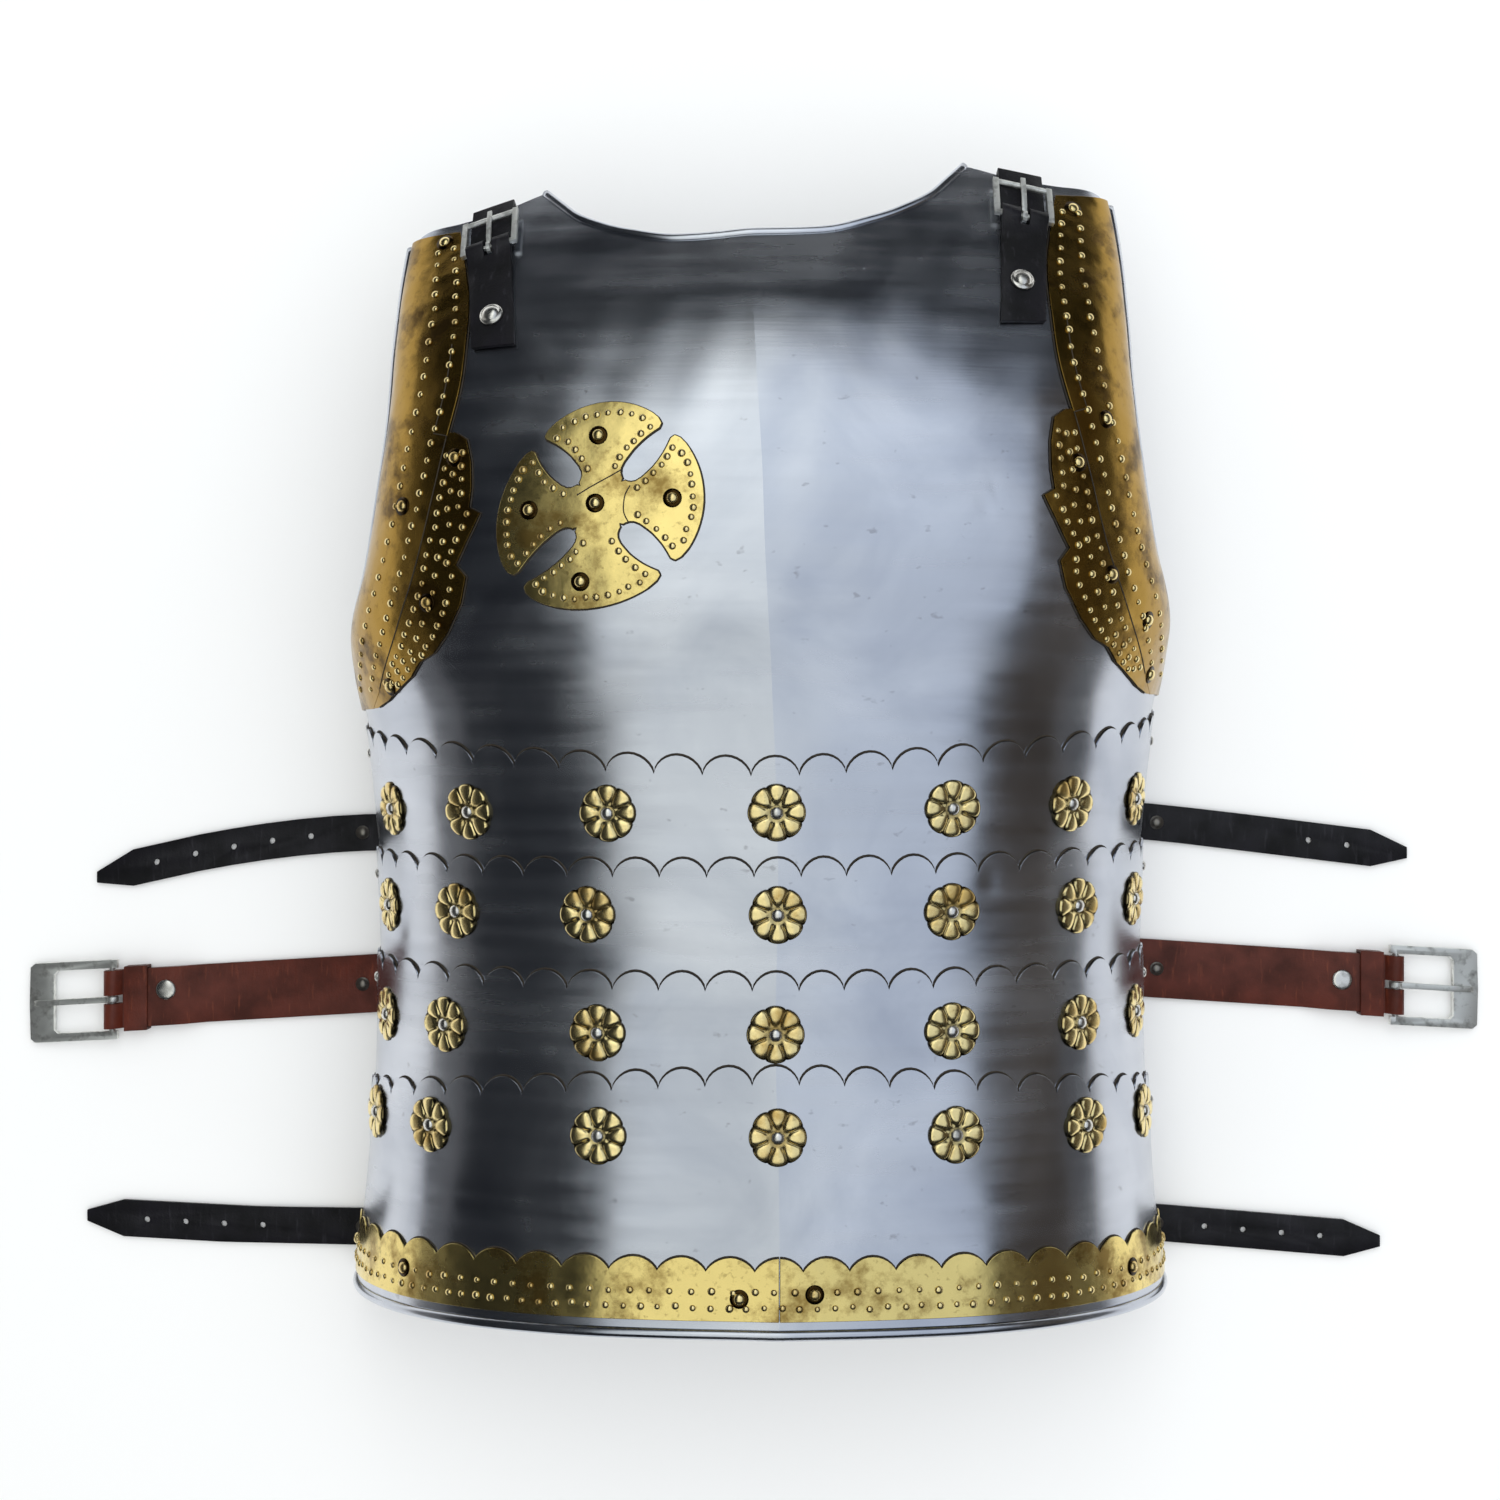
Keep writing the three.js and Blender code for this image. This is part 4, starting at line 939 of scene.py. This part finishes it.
def cross_badge():
    cells = 16
    radii = np.unique(np.concatenate([np.linspace(0.02, 1, 34), badge_arm[2:, 0]]))
    rings = len(radii)
    half_angle = np.interp(radii, badge_arm[:, 0], badge_arm[:, 1])
    corner = np.interp(radii, badge_arm[:, 0], badge_arm[:, 2])
    points = []
    faces = []
    index = {}
    for arm in range(4):
        for r, radius in enumerate(radii):
            for c in range(cells + 1):
                share = 2 * c / cells - 1
                shared_edge = half_angle[r] >= 45 and c == cells
                if shared_edge:
                    index[arm, r, c] = ((arm + 1) % 4, r, 0)
                    continue
                angle = math.radians(arm * 90 + share * half_angle[r])
                reach = (radius - corner[r] * share * share) * badge_radius
                index[arm, r, c] = len(points)
                points.append((reach * math.sin(angle), reach * math.cos(angle)))
    centre = len(points)
    points.append((0, 0))

    def at(key):
        value = index[key]
        return index[value] if isinstance(value, tuple) else value

    for arm in range(4):
        for c in range(cells):
            faces.append((centre, at((arm, 0, c + 1)), at((arm, 0, c))))
            for r in range(rings - 1):
                quad = [(arm, r, c), (arm, r, c + 1), (arm, r + 1, c + 1), (arm, r + 1, c)]
                faces.append(tuple(at(key) for key in quad))
    flat = np.array(points)
    place, height = badge_spot(flat[:, 0], flat[:, 1])
    count = len(points)
    outer = on_body(place, height, badge_lift + brass_thick)
    inner = on_body(place, height, badge_lift)
    edges = set()
    for face in faces:
        for a, b in zip(face, face[1:] + face[:1]):
            if (b, a) in edges:
                edges.remove((b, a))
            else:
                edges.add((a, b))
    walls = [(a, a + count, b + count, b) for a, b in edges]
    backs = [tuple(v + count for v in reversed(face)) for face in faces]
    badge = build("cross_badge_brass", np.concatenate([outer, inner]), faces + backs + walls, brass)
    finish_piece(soften_edges(badge, sheet_edge_radius), "brass", "cross_badge")
    follower = dict(edges)
    border = [min(follower)]
    while len(border) < 2 or border[-1] != border[0]:
        border.append(follower[border[-1]])
    # A dark line on the steel round the badge: painted shade with grime
    line = on_body(place[border], height[border], steel_thick)
    shade_and_grime_line("cross_badge_grime", line, brass_shade_and_grime + brass_gap / 2, "brass")
    for seam, spots in badge_seams.items():
        x, y = np.array(spots).T
        fine = np.linspace(0, 1, 24)
        coarse = np.linspace(0, 1, len(spots))
        seam_x = smooth_curve(np.stack([coarse, x], 1), fine)
        seam_y = smooth_curve(np.stack([coarse, y], 1), fine)
        line = on_body(*badge_spot(seam_x, seam_y), badge_lift + brass_thick)
        shade_and_grime_line(f"cross_badge_seam_{seam}", line, seam_grime, "brass")


cross_badge()


# Punched dots, rivets, and rings of painted shade under the rivets on the brass

def dot_line(places, heights, pitch, lift):
    """Spots at an even pitch along a line of places and heights."""
    line = on_body(places, heights, lift)
    run = np.concatenate([[0], np.cumsum(np.linalg.norm(np.diff(line, axis=0), axis=1))])
    count = max(int(run[-1] / pitch), 1)
    stops = (np.arange(count) + 0.5) * run[-1] / count
    return np.interp(stops, run, places), np.interp(stops, run, heights)


# How far the faces of the brass stand off the body: those of the armhole trims, and all others
brass_top = steel_thick + brass_thick
band_face = brass_top + band_gap
face = brass_top + brass_gap

# Rows of dots: where the row runs, and its pitch. On the hem band in millimetres above the edge, on the
# armhole band and leaf as shares of their width, and round each arm of the badge as a share of its radius
hem_dot_rows = [(12, 7.8), (19, 9.2)]
band_dot_rows = [(0.6, 8.5), (0.86, 7.5)]
leaf_dot_rows = [(0.22, 6.5), (0.5, 8), (0.78, 6)]
badge_dot_ring = 0.9
badge_dot_inset = 3.6
badge_side_pitch = 4.6
badge_ring_pitch = 4.8
dot_size = 1.7
dot_jitter = 0.3


def punched_dots():
    spots = []

    def dots(place, height, pitch, lift):
        place, height = dot_line(place, height, pitch, lift)
        spots.append((place, height, np.full(len(place), lift)))

    across = np.linspace(0.01, 0.99, 400)
    for above, pitch in hem_dot_rows:
        dots(across, hem_edge(across) + above, pitch, face)
    heights = np.linspace(0.13, 1.03, 200) * neck_height
    rim = band_inset / girth(heights)
    width = band_place(heights) - rim
    leaf_heights = np.linspace(0.14, 0.59, 100) * neck_height
    leaf_width = leaf_place(leaf_heights) - band_place(leaf_heights)
    for side in (-1, 1):
        for share, pitch in band_dot_rows:
            dots(sided(rim + width * share, side), heights, pitch, band_face)
        for share, pitch in leaf_dot_rows:
            place = band_place(leaf_heights) + leaf_width * share
            dots(sided(place, side), leaf_heights, pitch, band_face)

    def badge_dots(angle, reach, pitch):
        dots(*badge_spot(reach * np.sin(angle), reach * np.cos(angle)), pitch, face)

    for arm in range(4):
        for side in (-1, 1):
            radii = np.linspace(0.34, badge_dot_ring, 60)
            half = np.interp(radii, badge_arm[:, 0], badge_arm[:, 1]) - badge_dot_inset / radii
            badge_dots(np.radians(arm * 90 + side * half), radii * badge_radius, badge_side_pitch)
        angle = np.radians(arm * 90 + np.linspace(-31, 31, 60))
        badge_dots(angle, badge_dot_ring * badge_radius, badge_ring_pitch)
    place, height, lift = (np.concatenate(part) for part in zip(*spots))
    jitter = np.random.default_rng(7)
    place = place + jitter.normal(0, dot_jitter, len(place)) / girth(height)
    height = height + jitter.normal(0, dot_jitter, len(height))
    spot_frame = surface_frame(place, height, lift)
    sizes = jitter.uniform(0.8, 1.15, len(place))
    spread_out("punched_dots", dot_shape, *spot_frame, highlight_brass, "brass", dot_size, sizes)


punched_dots()

# Brass rivets: of the badge in millimetres from its centre, of the armhole trims at a place and height on the
# body, and of the hem band at a place and a height above the edge
badge_rivets = [(-2.2, 31.5), (-32, 0.8), (-2, 0.8), (32.5, -0.3), (-4.5, -34)]
trim_rivets = [
    (0.075, 248), (0.158, 137), (0.1, 117), (0.172, 71), (0.157, 34),
    (0.925, 246), (0.9, 145), (0.848, 125), (0.85, 76), (0.882, 57), (0.872, 33),
]
hem_rivets = [(0.05, 19), (0.187, 19), (0.47, 16), (0.5275, 18), (0.82, 18), (0.95, 19)]


def brass_rivets():
    spots = [(*badge_spot(across, up), face) for across, up in badge_rivets]
    spots += [(place, height, band_face) for place, height in trim_rivets]
    spots += [(place, hem_edge(place) + above, face) for place, above in hem_rivets]
    place, height, lift = np.array(spots, float).T
    points, out, across = surface_frame(place, height, lift)
    # Dark discs under the brass rivets: painted shade round each rivet
    spread_out("brass_rivet_seats", seat_shape, points, out, across, rivet_shade_brass, "brass", 4.4)
    spread_out("brass_rivets", rivet_shape, points + out * 0.5, out, across, highlight_brass, "brass", 2.7)


# Steel rivets of the lames: places across, and how far they sit below the scallops
lame_rivet_places = (0.03, 0.075, 0.925, 0.97)
lame_rivet_drop = 5


def side_rivets():
    """Small steel rivets that join the lames near their side edges."""
    spots = []
    for row in range(len(lame_rows)):
        for place in lame_rivet_places:
            height = float(row_line(row, place)) - scallop_depth - lame_rivet_drop
            spots.append((place, height, lap_lift + steel_thick))
    spot_frame = surface_frame(*np.array(spots).T)
    spread_out("side_rivets", rivet_shape, *spot_frame, rivet_metal, "buckle_steel", 2.4)


brass_rivets()
side_rivets()


# Leather and buckles: the solids' own shapes, merged, with cut edges rounded over

def dressed(node, name, finish, edge_mm, body):
    """A copy of a solid with its doubles merged, its flat faces joined and its edges softened."""
    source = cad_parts[node]
    mesh = source.data.copy()
    work = bmesh.new()
    work.from_mesh(mesh)
    bmesh.ops.remove_doubles(work, verts=work.verts, dist=0.01 * MM)
    bmesh.ops.dissolve_limit(work, angle_limit=math.radians(1.5), verts=work.verts, edges=work.edges)
    work.to_mesh(mesh)
    work.free()
    mesh.shade_smooth()
    mesh.materials.clear()
    mesh.materials.append(finish)
    obj = soften_edges(link(name, mesh), edge_mm, worn_edge_steps, worn_edge_angle)
    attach(obj, body)
    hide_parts(node)
    dressed_pieces[node] = settle(obj)


# Worn edges of leather and buckles: steps of the bevel, and the sharpest bend that is left alone
worn_edge_steps = 3
worn_edge_angle = 38

# Node, what it is made of, finish, radius of its worn edges in millimetres, material slot
dressed_kinds = [
    ("upper_strap", "leather", black_leather, 0.5, "black_leather"),
    ("lower_strap", "leather", black_leather, 0.5, "black_leather"),
    ("shoulder_strap", "leather", black_leather, 0.4, "black_leather"),
    ("shoulder_tongue", "leather", black_leather, 0.4, "black_leather"),
    ("belt", "leather", brown_leather, 0.5, "brown_leather"),
    ("keeper", "leather", brown_leather, 0.35, "brown_leather"),
    ("buckle", "frame", buckle_metal, 0.7, "buckle_steel"),
    ("prong", "steel", buckle_metal, 0.45, "buckle_steel"),
    ("shoulder_buckle", "frame", buckle_metal, 0.5, "buckle_steel"),
    ("shoulder_prong", "steel", buckle_metal, 0.35, "buckle_steel"),
]
dressed_pieces = {}
for side in ("left", "right"):
    for kind, stuff, finish, edge_mm, slot in dressed_kinds:
        node = f"{kind}_{side}"
        rides = node if kind == "prong" else BODY
        dressed(node, f"{node}_{stuff}", finish, edge_mm, rides)


# Rivets on the leather, in millimetres of the solids' own origin

def seen_from_above(obj, x, y):
    """The highest point of a piece at x, y and the normal there, or nothing beside the piece."""
    start = Vector(((x + shift[0]) * MM, (y + shift[1]) * MM, 1))
    hit, point, normal, _ = obj.ray_cast(start, Vector((0, 0, -1)))
    return (np.array(point) / MM - shift, np.array(normal)) if hit else None


def middle_of(obj, x):
    """The middle of a strap at x, found by a scan across it."""
    low, high = (obj.bound_box[corner][1] / MM - shift[1] for corner in (0, 6))
    inside = [y for y in np.arange(low, high, 0.5) if seen_from_above(obj, x, y)]
    return seen_from_above(obj, x, (inside[0] + inside[-1]) / 2)


# Shoulder rivets by place, height and lift on the body, belt rivets by x and y, and how far the rivets at the
# roots stand outside the body's half width
shoulder_rivet_places = [0.1705, 0.8295]
shoulder_rivet_heights = [204, 208]
shoulder_rivet_lift = steel_thick + 2.95
belt_rivet_spots = {"left": (-306.9, -123.8), "right": (301.0, -118.7)}
root_rivet_reach = 1


def strap_rivets():
    spot_frame = surface_frame(shoulder_rivet_places, shoulder_rivet_heights, shoulder_rivet_lift)
    spread_out("shoulder_rivets", cap_rivet_shape, *spot_frame, rivet_metal, "buckle_steel", 5.6)

    def on_leather(name, shape, spots, finish, size):
        points, out = (np.array(part) for part in zip(*spots))
        across = np.array([[1.0, 0, 0]] * len(spots))
        spread_out(name, shape, points, out, across, finish, "buckle_steel", size)

    belts = [seen_from_above(dressed_pieces[f"belt_{side}"], x, y)
             for side, (x, y) in belt_rivet_spots.items()]
    on_leather("belt_rivets", flat_rivet_shape, belts, rivet_metal, 5.2)
    root = body_half_width + root_rivet_reach
    roots = [middle_of(dressed_pieces[f"{kind}_{side}"], sign * root)
             for kind in ("upper_strap", "belt", "lower_strap")
             for side, sign in (("left", -1), ("right", 1))]
    on_leather("root_rivets", cap_rivet_shape, roots, dull_metal, 3.6)


strap_rivets()
for shape in (dot_shape, rivet_shape, cap_rivet_shape, flat_rivet_shape, seat_shape, flower):
    bpy.data.objects.remove(shape)


# Floor, light and camera

# The studio is in metres. The floor lies just under the part, so that the two don't flicker
floor_reach = 12.0
floor_level = -0.0005


def studio():
    """A pale paper floor in a dim room, which the camera sees as pale too."""
    paper = material("pale_paper", Roughness=0.9)[0]
    paper.node_tree.nodes["Principled BSDF"].inputs["Base Color"].default_value = linear("#f6f6f5")
    mesh = bpy.data.meshes.new("floor")
    signs = [(-1, -1), (1, -1), (1, 1), (-1, 1)]
    corners = [(x * floor_reach, y * floor_reach, floor_level) for x, y in signs]
    mesh.from_pydata(corners, [], [(0, 1, 2, 3)])
    mesh.materials.append(paper)
    link("floor", mesh)

    world = bpy.data.worlds.new("dim_room")
    world.use_nodes = True
    tree = world.node_tree
    seen = add(tree, "ShaderNodeLightPath").outputs["Is Camera Ray"]
    colour = blend(tree, seen, linear("#282a2d"), linear("#dfe0e0"))
    tree.links.new(colour, tree.nodes["Background"].inputs["Color"])
    bpy.context.scene.world = world


def soft_box(name, centre, size, radiance, colour, target, glossy=True, diffuse=True):
    """A flat soft light. radiance is its brightness as a mirror would show it."""
    lamp = bpy.data.lights.new(name, "AREA")
    lamp.shape = "RECTANGLE"
    lamp.size, lamp.size_y = size
    lamp.energy = radiance * math.pi * size[0] * size[1]
    lamp.color = linear(colour)[:3]
    obj = link(name, lamp)
    obj.location = centre
    facing = np.array(target) - np.array(centre)
    obj.rotation_euler = Vector(facing).to_track_quat("-Z", "Y").to_euler()
    obj.visible_glossy = glossy
    obj.visible_diffuse = diffuse
    obj.visible_camera = False
    return lamp


def step(tree, value, dark, bright):
    """A soft step: nothing at the first place, all at the second."""
    return add(tree, "ShaderNodeMapRange", {"Value": value, "From Min": dark, "From Max": bright},
               interpolation_type="SMOOTHSTEP").outputs[0]


# The soft box over the armour: centre, size and height, where its light begins on the left and ends on the
# right near the hem and near the neck, and the far end, which is drawn in on both sides of far_peak
panel_at = (0.57, 1.8)
panel_size = (2.7, 5.8)
panel_height = 1.7
panel_radiance = 1.36
left_edge = -0.78
left_fade = 0.12
right_edge_low = 1.42
right_edge_high = 1.82
right_fade = 0.14
far_end = 4.3
far_fade = 2.4
far_peak = (-0.25, -0.2)
far_patches = 0.35
dim_spot = (-0.15, -0.35, 0)
dim_radius = 0.6
dim_share = 0.7
warm_side = "#f8fcfa"
cool_side = "#c9d1dc"


def shade_panel(lamp, centre, size):
    """Lets the panel die away at its edges and in soft patches, as cloth on a frame does."""
    lamp.use_nodes = True
    tree = lamp.node_tree
    spot = add(tree, "ShaderNodeNewGeometry").outputs["Parametric"]
    shares = add(tree, "ShaderNodeSeparateXYZ", {0: spot}).outputs
    across, along = (spread(tree, shares[axis], 0, 1, middle - length / 2, middle + length / 2)
                     for axis, (middle, length) in enumerate(zip(centre, size)))
    place = add(tree, "ShaderNodeCombineXYZ", {0: across, 1: along}).outputs[0]
    patches = add(tree, "ShaderNodeTexNoise", {"Vector": place, "Scale": 1.3, "Detail": 3.0}).outputs[0]
    left = step(tree, across, left_edge, left_edge + left_fade)
    right_edge = spread(tree, along, -0.3, 0.3, right_edge_low, right_edge_high)
    right = step(tree, combine(tree, "SUBTRACT", across, right_edge), 0, -right_fade)
    far = combine(tree, "ADD", along, spread(tree, patches, 0.3, 0.7, -far_patches, far_patches))
    far = combine(tree, "ADD", far, spread(tree, across, far_peak[0], 1.2, 0, 1.9))
    far = combine(tree, "ADD", far, spread(tree, across, -0.7, far_peak[1], 2.4, 0))
    top = step(tree, far, far_end, far_end - far_fade)
    away = add(tree, "ShaderNodeVectorMath", {0: place, 1: dim_spot}, operation="DISTANCE").outputs["Value"]
    dim = spread(tree, away, 0, dim_radius, dim_share, 1)
    lift = spread(tree, along, 0, 0.8, 0.88, 1.1)
    power = spread(tree, patches, 0.3, 0.7, 0.88, 1.04)
    for share in (dim, lift, left, right, top):
        power = combine(tree, "MULTIPLY", power, share)
    emission = tree.nodes["Emission"]
    tree.links.new(power, emission.inputs["Strength"])
    tint = blend(tree, spread(tree, across, 0.1, 0.32, 0, 1), linear(warm_side), linear(cool_side))
    tree.links.new(tint, emission.inputs["Color"])


camera_height = 1.08
camera_x = -0.005


def camera():
    lens = bpy.data.cameras.new("camera")
    lens.lens = 49.85
    lens.sensor_width = 36
    lens.clip_start = 0.01
    obj = link("camera", lens)
    obj.location = (camera_x + shift[0] * MM, shift[1] * MM, camera_height)
    bpy.context.scene.camera = obj


studio()
panel = soft_box("overhead_soft_box", (*panel_at, panel_height), panel_size, panel_radiance, "#ffffff",
                 (*panel_at, 0))
shade_panel(panel, panel_at, panel_size)
for name, x, radiance in (("left", -1.1, 0.14), ("right", 1.1, 0.1)):
    soft_box(f"{name}_low_card", (x, -0.1, 0.22), (1.8, 0.44), radiance, "#fbf9f6", (0, -0.1, 0.22),
             diffuse=False)
soft_box("warm_wall", (1.35, 0.1, 0.9), (1.8, 0.8), 0.06, "#e8c79c", (0, 0.1, 0.2), diffuse=False)
soft_box("floor_fill", (0, 0, 2.2), (40.0, 40.0), 0.78, "#ffffff", (0, 0, 0), glossy=False)
camera()
bpy.context.scene.view_settings.view_transform = "Standard"

bpy.context.view_layer.update()
